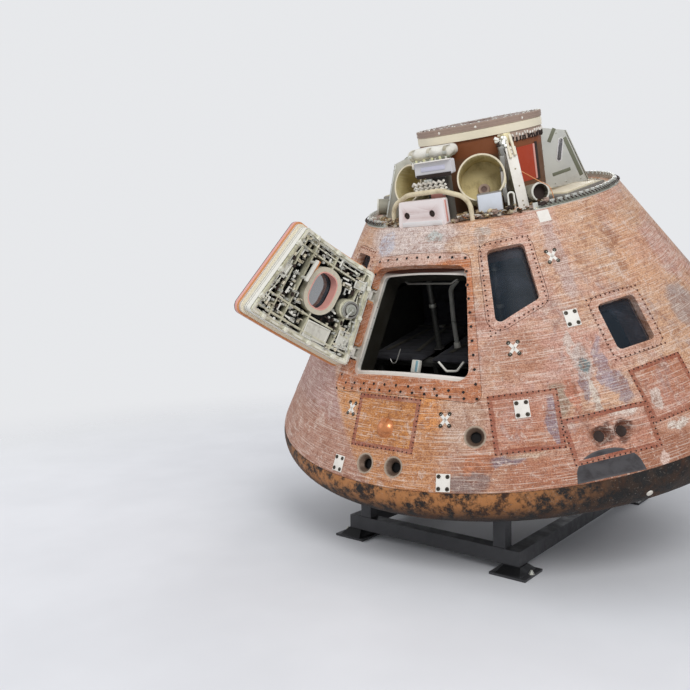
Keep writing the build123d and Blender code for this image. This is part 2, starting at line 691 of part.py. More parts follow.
THRUSTER_BOX_TURN = -1.3
THRUSTER_BOX_INSET = 44.0
THRUSTER_BOX_DEEP = 60.0
THRUSTER_BOX_FACE = ((-205.0, 0.0), (190.0, 0.0), (190.0, 176.0), (-172.0, 176.0))
THRUSTER_BOX_CORNER_R = 10.0
PITCH_NOZZLES = ((-121.0, 80.0), (89.0, 82.0))
PITCH_NOZZLE_R = 24.0
PITCH_NOZZLE_DEEP = 40.0
box_face = facing_plane(THRUSTER_BOX_TURN, rim_r - THRUSTER_BOX_INSET, DECK_Z)
with BuildPart() as pitch_thruster_box:
    with BuildSketch(box_face) as box_outline:
        with BuildLine():
            Polyline(*THRUSTER_BOX_FACE, close=True)
        make_face()
        fillet(box_outline.vertices(), THRUSTER_BOX_CORNER_R)
    extrude(amount=-THRUSTER_BOX_DEEP)
    with BuildSketch(box_face):
        with Locations(*PITCH_NOZZLES):
            Circle(PITCH_NOZZLE_R)
    extrude(amount=-PITCH_NOZZLE_DEEP, mode=Mode.SUBTRACT)

# Boxes on the deck: offset, inset of the face from the cone's rim, foot above the deck, width, height, depth
BAY_BOXES = (
    (29.2, 69.0, 0.0, 165.0, 161.0, 60.0),
    (4.5, 164.0, 0.0, 150.0, 340.0, 90.0),
    (5.5, 114.0, 326.0, 280.0, 95.0, 54.0),
    (82.0, 130.0, 0.0, 520.0, 45.0, 250.0),
    (-88.0, 150.0, 0.0, 420.0, 150.0, 250.0),
    (-158.0, 150.0, 0.0, 260.0, 180.0, 240.0),
)
BOX_CORNER_R = 12.0
with BuildPart() as bay_boxes:
    for turn, inset_r, foot, wide, tall, deep in BAY_BOXES:
        with BuildSketch(facing_plane(turn, rim_r - inset_r, DECK_Z + foot)):
            with Locations((0, tall / 2)):
                RectangleRounded(wide, tall, BOX_CORNER_R)
        extrude(amount=-deep)

# Packed bag round the front of the tunnel, under the collar
BAG_WIDE = 249.7
BAG_TALL = 84.0
BAG_CORNER_R = 34.0
BAG_ENDS = (-26.0, 12.0)
with BuildPart() as flotation_bag:
    with BuildSketch(radial_plane(BAG_ENDS[0])):
        with Locations((TUNNEL_R + SEAT_GAP + BAG_WIDE / 2, collar_low - SEAT_GAP - BAG_TALL / 2)):
            RectangleRounded(BAG_WIDE, BAG_TALL, BAG_CORNER_R)
    revolve(axis=Axis.Z, revolution_arc=BAG_ENDS[1] - BAG_ENDS[0])

# Side hatch, drawn shut: skin, ribbed structure, window, gearbox, latch gear, handle and arms
HATCH_WINDOW_AT = (-20.0, 34.0)
HATCH_WINDOW_CORNER_R = 92.0
HATCH_PANE_DEPTH = 80.0
HATCH_LIP = 28.0
HATCH_LIP_SHRINK = HATCH_GAP + 14
HATCH_BODY_SHRINK = FRAME_SILL + 20
HATCH_RIB = 12.0
RIB_REACH = 1200.0
HATCH_RIBS_X = (-272.0, -20.0, 170.0, 280.0)
HATCH_RIBS_Y = (-270.0, -160.0, 225.0)
HATCH_PANE_SEAT = 8.0
WINDOW_RING_W = 35.0
WINDOW_RING_THICK = 10.0
POCKET_OVERRUN = 20.0
GEARBOX_AT = (-272.0, 20.0)
GEARBOX_R = 62.0
GEARBOX_BOSS = 10.0
GEARBOX_TALL = 26.0
GEARBOX_STEP_R = 40.0
GEARBOX_STEP_TALL = 14.0
HANDLE_AT = (170.0, 100.0)
HANDLE_SPAN = 120.0
HANDLE_REACH = 46.0
HANDLE_GRIP = 20.0
HANDLE_ROD_R = 11.0

# Latch gear round the hatch's edge: a link band and the dogs that it draws back, spaced evenly
LATCH_BAND_INSET = 8.0
LATCH_BAND_W = 14.0
LATCH_BAND_THICK = 9.0
LATCH_PITCH = 192.0
LATCH_BODY_LONG = 46.0
LATCH_BODY_WIDE = 24.0
LATCH_BODY_TALL = 12.0
LATCH_CLAW_LONG = 18.0
LATCH_CLAW_WIDE = 30.0
LATCH_CLAW_TALL = 20.0


def hatch_back_plane(x, y):
    """Plane on the hatch's inner face, at a place given across and up the slope; Z points outwards."""
    r = skin_r(hatch_middle_z + y * cos(A)) - HATCH_DEPTH * cos(A)
    turn = asin(x / r)
    z = hatch_middle_z + (y - r * (1 - cos(turn)) * sin(A)) * cos(A)
    return skin_plane(degrees(turn), z, HATCH_DEPTH)


with BuildPart() as hatch_window_hole:
    with BuildSketch(hatch_plane):
        with Locations(HATCH_WINDOW_AT):
            RectangleRounded(HATCH_WINDOW_W, HATCH_WINDOW_H, HATCH_WINDOW_CORNER_R)
    extrude(amount=THROUGH, both=True)
with BuildPart() as hatch_window_pane:
    with BuildSketch(hatch_plane.offset(-HATCH_PANE_DEPTH)):
        with Locations(HATCH_WINDOW_AT):
            RectangleRounded(HATCH_WINDOW_W + 2 * HATCH_PANE_SEAT, HATCH_WINDOW_H + 2 * HATCH_PANE_SEAT,
                             HATCH_WINDOW_CORNER_R + HATCH_PANE_SEAT)
    extrude(amount=-PANE_THICK)
with BuildPart() as hatch_window_ring:
    with BuildSketch(hatch_plane):
        with Locations(HATCH_WINDOW_AT):
            RectangleRounded(HATCH_WINDOW_W + 2 * WINDOW_RING_W, HATCH_WINDOW_H + 2 * WINDOW_RING_W,
                             HATCH_WINDOW_CORNER_R + WINDOW_RING_W)
            RectangleRounded(HATCH_WINDOW_W, HATCH_WINDOW_H, HATCH_WINDOW_CORNER_R, mode=Mode.SUBTRACT)
    extrude(amount=-THROUGH)
    add(cone_shell(HATCH_DEPTH, HATCH_DEPTH + WINDOW_RING_THICK), mode=Mode.INTERSECT)

with BuildPart() as hatch_skin:
    add(patch(hatch_plane, hatch_corners, HATCH_CORNER_R, 0, HATCH_SKIN, -HATCH_GAP, hatch_window_hole.part))
    add(swing_relief.part, mode=Mode.SUBTRACT)

with BuildPart() as hatch_pockets:
    add(patch(hatch_plane, hatch_corners, HATCH_CORNER_R, HATCH_SKIN + HATCH_LIP, HATCH_DEPTH + POCKET_OVERRUN,
              -(HATCH_BODY_SHRINK + HATCH_RIM)))
    with BuildSketch(hatch_plane):
        for x in HATCH_RIBS_X:
            with Locations((x, 0)):
                Rectangle(HATCH_RIB, RIB_REACH)
        for y in HATCH_RIBS_Y:
            with Locations((0, y)):
                Rectangle(RIB_REACH, HATCH_RIB)
        with Locations(HATCH_WINDOW_AT):
            RectangleRounded(HATCH_WINDOW_W + 2 * WINDOW_RING_W, HATCH_WINDOW_H + 2 * WINDOW_RING_W,
                             HATCH_WINDOW_CORNER_R + WINDOW_RING_W)
        with Locations(GEARBOX_AT):
            Circle(GEARBOX_R + GEARBOX_BOSS)
    extrude(amount=THROUGH, both=True, mode=Mode.SUBTRACT)
with BuildPart() as hatch_structure:
    add(patch(hatch_plane, hatch_corners, HATCH_CORNER_R, HATCH_SKIN, HATCH_SKIN + HATCH_LIP,
              -HATCH_LIP_SHRINK))
    add(patch(hatch_plane, hatch_corners, HATCH_CORNER_R, HATCH_SKIN + HATCH_LIP - OVERLAP, HATCH_DEPTH,
              -HATCH_BODY_SHRINK))
    add(hatch_pockets.part, mode=Mode.SUBTRACT)
    add(swing_relief.part, mode=Mode.SUBTRACT)
    add(hatch_window_hole.part, mode=Mode.SUBTRACT)
    add(hatch_window_pane.part, mode=Mode.SUBTRACT)

with BuildPart() as lip_seat:
    add(prism(hatch_plane, hatch_corners, HATCH_CORNER_R, -HATCH_LIP_SHRINK, THROUGH))
    add(swing_relief.part, mode=Mode.SUBTRACT)
with BuildPart() as hatch_hinge_arms:
    for height in HINGE_ARM_HEIGHTS:
        with BuildSketch(hinge_plane.offset(height)):
            Circle(KNUCKLE_R)
            with Locations((HINGE_ARM_REACH / 2 + HINGE_ARM_START, HINGE_ARM_DROP)):
                Rectangle(HINGE_ARM_REACH, HINGE_ARM_THICK)
            Circle(PIN_R + PIN_CLEARANCE, mode=Mode.SUBTRACT)
        extrude(amount=HINGE_ARM_WIDE / 2, both=True)
    add(lip_seat.part, mode=Mode.SUBTRACT)

hatch_solid = cone_shell(0, HATCH_DEPTH)
with BuildPart() as hatch_gearbox:
    gearbox_plane = hatch_back_plane(*GEARBOX_AT)
    with BuildSketch(gearbox_plane):
        Circle(GEARBOX_R)
    extrude(amount=-GEARBOX_TALL)
    with BuildSketch(gearbox_plane.offset(-GEARBOX_TALL)):
        Circle(GEARBOX_STEP_R)
    extrude(amount=-GEARBOX_STEP_TALL)
    add(hatch_solid, mode=Mode.SUBTRACT)

latch_band_shrink = HATCH_BODY_SHRINK + LATCH_BAND_INSET
with BuildSketch() as latch_line:
    with BuildLine():
        Polyline(*hatch_corners, close=True)
    make_face()
    offset(amount=-(latch_band_shrink + LATCH_BAND_W / 2), kind=Kind.INTERSECTION)
latch_places = []
for edge in latch_line.edges():
    way = edge % 0.5
    count = round(edge.length / LATCH_PITCH)
    for index in range(count):
        spot = edge @ ((index + 0.5) / count)
        latch_places.append((spot.X, spot.Y, degrees(atan2(way.Y, way.X))))
with BuildPart() as latch_gear:
    add(patch(hatch_plane, hatch_corners, HATCH_CORNER_R, HATCH_DEPTH, HATCH_DEPTH + LATCH_BAND_THICK,
              -latch_band_shrink,
              prism(hatch_plane, hatch_corners, HATCH_CORNER_R, -(latch_band_shrink + LATCH_BAND_W), THROUGH)))
    for x, y, angle in latch_places:
        dog_plane = hatch_back_plane(x, y)
        with BuildSketch(dog_plane):
            Rectangle(LATCH_BODY_LONG, LATCH_BODY_WIDE, rotation=angle)
        extrude(amount=-LATCH_BODY_TALL)
        with BuildSketch(dog_plane):
            Rectangle(LATCH_CLAW_LONG, LATCH_CLAW_WIDE, rotation=angle)
        extrude(amount=-LATCH_CLAW_TALL)
    add(hatch_solid, mode=Mode.SUBTRACT)

handle_plane = hatch_back_plane(*HANDLE_AT)
with BuildPart() as hatch_handle:
    with BuildSketch(handle_plane):
        with Locations((0, -HANDLE_SPAN / 2), (0, HANDLE_SPAN / 2)):
            Circle(HANDLE_ROD_R)
    extrude(amount=-HANDLE_REACH)
    with BuildSketch(handle_plane.offset(-HANDLE_REACH)):
        SlotOverall(HANDLE_SPAN + 4 * HANDLE_ROD_R, 2 * HANDLE_ROD_R, rotation=90)
    extrude(amount=-HANDLE_GRIP)
    add(hatch_solid, mode=Mode.SUBTRACT)

# Cabin furniture: three couches on struts, console, equipment bays and hoses
COUCH_X = (-600.0, 0.0, 600.0)
COUCH_W = 520.0
COUCH_THICK = 55.0
COUCH_Z = 1050.0
COUCH_HEAD_Y = -760.0
COUCH_HIP_Y = 120.0
COUCH_KNEE_Z = 1440.0
COUCH_SHIN_RUN = 60.0
COUCH_FOOT_Y = 560.0
COUCH_BEAM_Y = (-640.0, 60.0)
COUCH_BEAM_LONG = 1760.0
COUCH_BEAM = 60.0
COUCH_LEG_X = (-840.0, -300.0, 300.0, 840.0)
with BuildPart() as couches:
    for x in COUCH_X:
        with BuildSketch(Plane.YZ.offset(x)):
            with BuildLine():
                line = Polyline(
                    (COUCH_HEAD_Y, COUCH_Z),
                    (COUCH_HIP_Y, COUCH_Z),
                    (COUCH_HIP_Y + COUCH_SHIN_RUN, COUCH_KNEE_Z),
                    (COUCH_FOOT_Y, COUCH_KNEE_Z),
                )
                offset(line, amount=COUCH_THICK / 2, kind=Kind.ARC)
            make_face()
        extrude(amount=COUCH_W / 2, both=True)

couch_low = COUCH_Z - COUCH_THICK / 2
STRUT_R = 22.0
with BuildPart() as couch_frame:
    for y in COUCH_BEAM_Y:
        with BuildSketch(Plane.XY.offset(couch_low)):
            with Locations((0, y)):
                Rectangle(COUCH_BEAM_LONG, COUCH_BEAM)
        extrude(amount=-COUCH_BEAM)
        with BuildSketch(Plane.XY.offset(couch_low - COUCH_BEAM)):
            with Locations(*[(x, y) for x in COUCH_LEG_X]):
                Circle(STRUT_R)
        extrude(amount=-(couch_low - COUCH_BEAM - floor_top))

STRUT_X = 292.0
STRUT_Y = -560.0
STRUT_FOOT = 60.0
STRUT_FOOT_TALL = 20.0
couch_top = COUCH_Z + COUCH_THICK / 2
strut_top = DECK_Z - DECK_THICK - CABIN_WALL
with BuildPart() as overhead_struts:
    for x in (-STRUT_X, STRUT_X):
        with BuildSketch(Plane.XY.offset(couch_top)):
            with Locations((x, STRUT_Y)):
                Rectangle(STRUT_FOOT, STRUT_FOOT)
        extrude(amount=STRUT_FOOT_TALL)
        with BuildSketch(Plane.XY.offset(couch_top + STRUT_FOOT_TALL)):
            with Locations((x, STRUT_Y)):
                Circle(STRUT_R)
        extrude(amount=strut_top - couch_top - STRUT_FOOT_TALL)

CONSOLE_W = 1240.0
CONSOLE_TALL = 430.0
CONSOLE_DEEP = 110.0
CONSOLE_Y = 330.0
CONSOLE_LOW_Z = 1560.0
CONSOLE_CORNER_R = 60.0
HANGER_X = 420.0
HANGER_SIDE = 60.0
HANGER_SINK = 40.0
with BuildPart() as display_console:
    with BuildSketch(Plane.XZ.offset(-CONSOLE_Y)):
        with Locations((0, CONSOLE_LOW_Z + CONSOLE_TALL / 2)):
            RectangleRounded(CONSOLE_W, CONSOLE_TALL, CONSOLE_CORNER_R)
    extrude(amount=-CONSOLE_DEEP)
    hanger_low = CONSOLE_LOW_Z + CONSOLE_TALL - HANGER_SINK
    with BuildSketch(Plane.XY.offset(hanger_low)):
        with Locations(*[(x, CONSOLE_Y + CONSOLE_DEEP / 2) for x in (-HANGER_X, HANGER_X)]):
            Rectangle(HANGER_SIDE, HANGER_SIDE)
    extrude(amount=strut_top - hanger_low)

# Space left free between the equipment bays: middle along Y, width, length
BAY_TOP_Z = 1420.0
BAY_CUTS = ((-700.0, 2000.0, 2900.0), (-1700.0, 4000.0, 2400.0))
with BuildPart() as equipment_bays:
    with BuildSketch(Plane.XZ):
        with BuildLine():
            Polyline(
                (0, floor_top),
                (skin_r(floor_top, cabin_inner_depth) - LOOSE_FIT, floor_top),
                (skin_r(BAY_TOP_Z, cabin_inner_depth) - LOOSE_FIT, BAY_TOP_Z),
                (0, BAY_TOP_Z),
                close=True,
            )
        make_face()
    revolve(axis=Axis.Z)
    with BuildSketch(Plane.XY.offset(floor_top)):
        for y, wide, long in BAY_CUTS:
            with Locations((0, y)):
                Rectangle(wide, long)
    extrude(amount=BAY_TOP_Z, mode=Mode.SUBTRACT)

HOSE_R = 20.0
HOSE_BEND_R = 70.0
hose_routes = (
    ((-150, -520, couch_top), (-150, -520, 1300), (-120, -540, 1560), (60, -470, 1760),
     (300, -200, 1780), (360, 60, 1690), (360, CONSOLE_Y, 1690)),
    ((200, -640, couch_top), (200, -640, 1170), (60, -600, 1260), (-60, -420, 1330),
     (-120, -60, 1500), (-130, 120, 1640), (-130, CONSOLE_Y, 1640)),
)
with BuildPart() as suit_hoses:
    for route in hose_routes:
        with BuildLine() as hose_path:
            FilletPolyline(*route, radius=HOSE_BEND_R)
        with BuildSketch(hose_path.line ^ 0):
            Circle(HOSE_R)
        sweep(path=hose_path.line)

# The stand, drawn on the floor where it stands
lean_turn = radians(LEAN_ANGLE)
sphere_centre = (
    0,
    LEAN_SHIFT_Y - SHIELD_SPHERE_R * sin(lean_turn),
    LEAN_LIFT + SHIELD_SPHERE_R * cos(lean_turn),
)
stand_corners = [(x, y) for x in (-FOOT_X, FOOT_X) for y in (-FOOT_Y, FOOT_Y)]
beam_low = BEAM_LOW
beam_top = beam_low + BEAM
post_corners = [(x, y) for x in (-POST_X, POST_X) for y in (-FOOT_Y, FOOT_Y)]
with BuildPart() as stand_feet:
    for x, y in stand_corners:
        with BuildSketch():
            with Locations((x, y)):
                Rectangle(FOOT_PLATE, FOOT_PLATE)
        extrude(amount=FOOT_PLATE_THICK)
        with BuildSketch(Plane.XY.offset(FOOT_PLATE_THICK)):
            with Locations((x, y)):
                Rectangle(FOOT_PLATE - 2 * FOOT_TAPER_X, FOOT_PLATE - 2 * FOOT_TAPER_Y)
        with BuildSketch(Plane.XY.offset(beam_low)):
            with Locations((x, y)):
                Rectangle(BEAM + FOOT_BOSS, BEAM + FOOT_BOSS)
        loft()
    with BuildSketch():
        with Locations(*[(x + (FOOT_BOLT_OUT if x > 0 else -FOOT_BOLT_OUT), y) for x, y in stand_corners]):
            Circle(FLOOR_BOLT_R)
    extrude(amount=FOOT_PLATE_THICK, mode=Mode.SUBTRACT)
with BuildPart() as stand_cross_beams:
    for y in (-FOOT_Y, FOOT_Y):
        with BuildSketch(Plane.XY.offset(beam_low)):
            with Locations((0, y)):
                Rectangle(2 * FOOT_X + BEAM, BEAM)
        extrude(amount=BEAM)
with BuildPart() as stand_side_rails:
    for x in (-FOOT_X, FOOT_X):
        with BuildSketch(Plane.XY.offset(beam_low)):
            with Locations((x, 0)):
                Rectangle(BEAM, 2 * FOOT_Y - BEAM)
        extrude(amount=BEAM)
with BuildPart() as stand_posts:
    with BuildSketch(Plane.XY.offset(beam_top)):
        with Locations(*post_corners):
            Rectangle(POST, POST)
    extrude(amount=POST_REACH)
    with Locations(sphere_centre):
        Sphere(SHIELD_SPHERE_R + PAD_THICK + 2 * SEAT_GAP, mode=Mode.SUBTRACT)
with BuildPart() as stand_pads:
    with BuildSketch(Plane.XY.offset(beam_top)):
        with Locations(*post_corners):
            Rectangle(PAD_SIDE, PAD_SIDE)
    extrude(amount=POST_REACH)
    with Locations(sphere_centre):
        Sphere(SHIELD_SPHERE_R + SEAT_GAP + PAD_THICK, mode=Mode.INTERSECT)
    with Locations(sphere_centre):
        Sphere(SHIELD_SPHERE_R + SEAT_GAP, mode=Mode.SUBTRACT)

leaning = {
    "aft_heat_shield": aft_heat_shield,
    "crew_heat_shield": crew_heat_shield,
    "access_panels": access_panels,
    "roll_thruster_panels": roll_thruster_panels,
    "round_nozzles": round_nozzles,
    "bolt_plates": bolt_plates,
    "vent_dome": vent_dome,
    "hatch_surround": hatch_surround,
    "hatch_frame": hatch_frame,
    "rendezvous_window_frames": rendezvous_window_frames,
    "side_window_frames": side_window_frames,
    "window_panes": window_panes,
    "cabin_wall": cabin_wall,
    "cabin_floor": cabin_floor,
    "forward_deck": forward_deck,
    "deck_edge_ring": deck_edge_ring,
    "tunnel_wall": tunnel_wall,
    "tunnel_collar": tunnel_collar,
    "tunnel_cover": tunnel_cover,
    "gussets": gussets,
    "drogue_mortars": drogue_mortars,
    "recovery_bail": recovery_bail,
    "pitch_thruster_box": pitch_thruster_box,
    "pilot_mortars": pilot_mortars,
    "bay_boxes": bay_boxes,
    "flotation_bag": flotation_bag,
    "couches": couches,
    "couch_frame": couch_frame,
    "overhead_struts": overhead_struts,
    "display_console": display_console,
    "equipment_bays": equipment_bays,
    "suit_hoses": suit_hoses,
}
swung = {
    "hatch_skin": hatch_skin,
    "hatch_structure": hatch_structure,
    "hatch_window_pane": hatch_window_pane,
    "hatch_window_ring": hatch_window_ring,
    "hatch_hinge_arms": hatch_hinge_arms,
    "hatch_gearbox": hatch_gearbox,
    "latch_gear": latch_gear,
    "hatch_handle": hatch_handle,
}
standing = {
    "stand_feet": stand_feet,
    "stand_cross_beams": stand_cross_beams,
    "stand_side_rails": stand_side_rails,
    "stand_posts": stand_posts,
    "stand_pads": stand_pads,
}
LEAN = Location((0, LEAN_SHIFT_Y, LEAN_LIFT), (LEAN_ANGLE, 0, 0))
for name, piece in leaning.items():
    piece.part.label = name
    export_step(piece.part.moved(LEAN), f"parts/{name}.step")
for name, piece in swung.items():
    piece.part.label = name
    opened = piece.part.rotate(hinge_axis, -HATCH_OPEN_ANGLE)
    opened.label = name
    export_step(opened.moved(LEAN), f"parts/{name}.step")
for name, piece in standing.items():
    piece.part.label = name
    export_step(piece.part, f"parts/{name}.step")
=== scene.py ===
"""Dresses the weathered crew capsule: scorched skin, open hatch, forward bay, cabin and stand.

Sizes are in metres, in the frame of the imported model: the floor is at zero and the hatch is on the -Y side.
"""

import json
import logging
from dataclasses import dataclass
from enum import Enum
from math import asin, atan2, ceil, copysign, cos, degrees, hypot, pi, radians, sin, sqrt, tan
from random import Random
from typing import Callable, Iterable, Sequence

import bmesh
import bpy
from mathutils import Matrix, Vector, noise


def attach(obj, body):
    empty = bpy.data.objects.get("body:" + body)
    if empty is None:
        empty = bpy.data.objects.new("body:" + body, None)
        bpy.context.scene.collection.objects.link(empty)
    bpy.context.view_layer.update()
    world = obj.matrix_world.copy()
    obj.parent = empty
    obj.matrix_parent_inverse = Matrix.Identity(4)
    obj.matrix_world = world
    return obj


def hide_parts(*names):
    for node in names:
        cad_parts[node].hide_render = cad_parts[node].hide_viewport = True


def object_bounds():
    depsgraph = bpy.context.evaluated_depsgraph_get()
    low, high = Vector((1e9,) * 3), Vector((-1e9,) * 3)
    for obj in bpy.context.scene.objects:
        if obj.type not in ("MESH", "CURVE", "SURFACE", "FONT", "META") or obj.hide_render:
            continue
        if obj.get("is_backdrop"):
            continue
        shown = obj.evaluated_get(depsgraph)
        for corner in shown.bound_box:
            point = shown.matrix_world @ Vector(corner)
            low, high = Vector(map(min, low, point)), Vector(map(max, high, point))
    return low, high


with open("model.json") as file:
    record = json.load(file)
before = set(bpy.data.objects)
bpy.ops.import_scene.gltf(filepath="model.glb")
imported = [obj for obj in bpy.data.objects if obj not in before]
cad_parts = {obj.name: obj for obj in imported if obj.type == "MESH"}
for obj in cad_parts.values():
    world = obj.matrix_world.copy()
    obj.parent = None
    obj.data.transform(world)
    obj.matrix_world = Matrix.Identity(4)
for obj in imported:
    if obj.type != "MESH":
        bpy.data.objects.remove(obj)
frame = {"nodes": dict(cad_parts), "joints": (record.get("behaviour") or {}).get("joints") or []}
cad_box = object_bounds()
log = logging.getLogger("capsule")

Point = tuple[float, float]
Spot = tuple[float, float, float]
Tone = tuple[int, int, int]
Shape = bmesh.types.BMesh
Socket = bpy.types.NodeSocket
CAPSULE_BODY = "capsule"
HATCH_BODY = "side_hatch"


def linear(given: object) -> object:
    """Turn a screen colour from 0 to 255 into what a shader takes, and pass on a link as it is."""
    return (*((value / 255) ** 2.2 for value in given), 1.0) if isinstance(given, tuple) else given


@dataclass(frozen=True)
class Capsule:
    """The cone's own geometry, drawn upright and then leant on its stand."""

    lean: float = radians(16)
    stood: Spot = (0.0, 0.31, 0.54)
    sphere_r: float = 4.694
    corner_r: float = 0.1956
    greatest_d: float = 3.9116
    half_angle: float = radians(33)
    deck_z: float = 2.124
    hatch_z: float = 1.5705

    @property
    def leaning(self) -> Matrix:
        """The placement that leans the upright capsule."""
        return Matrix.Translation(self.stood) @ Matrix.Rotation(self.lean, 4, "X")

    def skin_r(self, z: float) -> float:
        """Radius of the outer skin at a height."""
        centre_r = self.greatest_d / 2 - self.corner_r
        centre_z = self.sphere_r - sqrt((self.sphere_r - self.corner_r) ** 2 - centre_r ** 2)
        foot_r = centre_r + self.corner_r * cos(self.half_angle)
        foot_z = centre_z + self.corner_r * sin(self.half_angle)
        return foot_r - (z - foot_z) * tan(self.half_angle)

    def at(self, offset: float, r: float, z: float) -> Vector:
        """Give a point in the model's frame.

        Args:
            offset: Degrees round the axis from the hatch's centre, towards +X.
            r: Distance from the axis.
            z: Height in the upright capsule.

        Returns:
            The point.
        """
        turn = radians(offset)
        return self.leaning @ Vector((r * sin(turn), -r * cos(turn), z))

    def skin(self, offset: float, z: float, lift: float = 0.0) -> Matrix:
        """Give the placement that touches the skin: X runs round it, Y up the slope, Z outwards.

        Args:
            offset: Degrees round the axis.
            z: Height in the upright capsule.
            lift: Distance outwards from the skin.

        Returns:
            The placement.
        """
        slope = self.half_angle
        return self.facing(offset, self.skin_r(z) + lift * cos(slope), z + lift * sin(slope), degrees(slope))

    def facing(self, offset: float, r: float, z: float, tilt: float = 0.0) -> Matrix:
        """Give the placement that looks outwards from the axis: X runs round, Y upwards, Z outwards.

        Args:
            offset: Degrees round the axis.
            r: Distance from the axis.
            z: Height in the upright capsule.
            tilt: Degrees by which it looks upwards.

        Returns:
            The placement.
        """
        turn, rise = radians(offset), radians(tilt)
        out = Vector((cos(rise) * sin(turn), -cos(rise) * cos(turn), sin(rise)))
        across = Vector((cos(turn), sin(turn), 0))
        spot = Vector((r * sin(turn), -r * cos(turn), z))
        return placement(across, out.cross(across), out, spot, self.leaning)

    def drop(self, z: float, x: float, y: float) -> float:
        """How far the skin lies under the plane that touches it at height z, at a place on that plane."""
        reach = (self.skin_r(z) - y * sin(self.half_angle)) / cos(self.half_angle)
        bend = 1 - tan(self.half_angle) ** 2
        return (reach - sqrt(reach ** 2 - bend * x ** 2)) / bend

    def on_skin(self, offset: float, z: float, x: float, y: float, lift: float = 0.0) -> Matrix:
        """Give the placement on the skin at a place measured on a touching plane.

        Args:
            offset: Offset of the plane's own point.
            z: Height of that point.
            x: Distance across from it.
            y: Distance up the slope from it.
            lift: Distance outwards from the skin.

        Returns:
            The placement.
        """
        low, slope = self.drop(z, x, y), self.half_angle
        height = z + y * cos(slope) - low * sin(slope)
        ahead = self.skin_r(z) - y * sin(slope) - low * cos(slope)
        return self.skin(offset + degrees(atan2(x, ahead)), height, lift)

    def shut(self, x: float, y: float, depth: float) -> Matrix:
        """Give a placement in the hatch's opening.

        Args:
            x: Distance across from its centre.
            y: Distance up the slope from there.
            depth: Depth under the outer skin.

        Returns:
            The placement, with Z out of the cone.
        """
        slope = self.half_angle
        r = self.skin_r(self.hatch_z + y * cos(slope)) - depth * cos(slope)
        turn = asin(x / r)
        z = self.hatch_z + (y - r * (1 - cos(turn)) * sin(slope)) * cos(slope)
        return self.skin(degrees(turn), z, -depth)

    def hatch(self, x: float, y: float, depth: float) -> Matrix:
        """The same placement on the hatch as it stands open."""
        return opened() @ self.shut(x, y, depth)


def shift(x: float, y: float, z: float) -> Matrix:
    """A move by three lengths."""
    return Matrix.Translation((x, y, z))


def spin(turn: float, axis: str = "Z") -> Matrix:
    """A turn by some degrees about an axis."""
    return Matrix.Rotation(radians(turn), 4, axis)


def placement(x: Vector, y: Vector, z: Vector, origin: Vector, base: Matrix = Matrix.Identity(4)) -> Matrix:
    """Build a placement from its three axes and its origin, on a base."""
    return base @ Matrix.Translation(origin) @ Matrix((x, y, z)).transposed().to_4x4()


def opened() -> Matrix:
    """The hatch's turn about its hinge, from shut to the open rest pose."""
    joint = frame["joints"][0]
    pivot = Matrix.Translation(joint["pos_m"])
    turn = Matrix.Rotation(-radians(joint["range_deg"][1]), 4, Vector(joint["axis"]))
    return pivot @ turn @ pivot.inverted()


CAPSULE = Capsule()


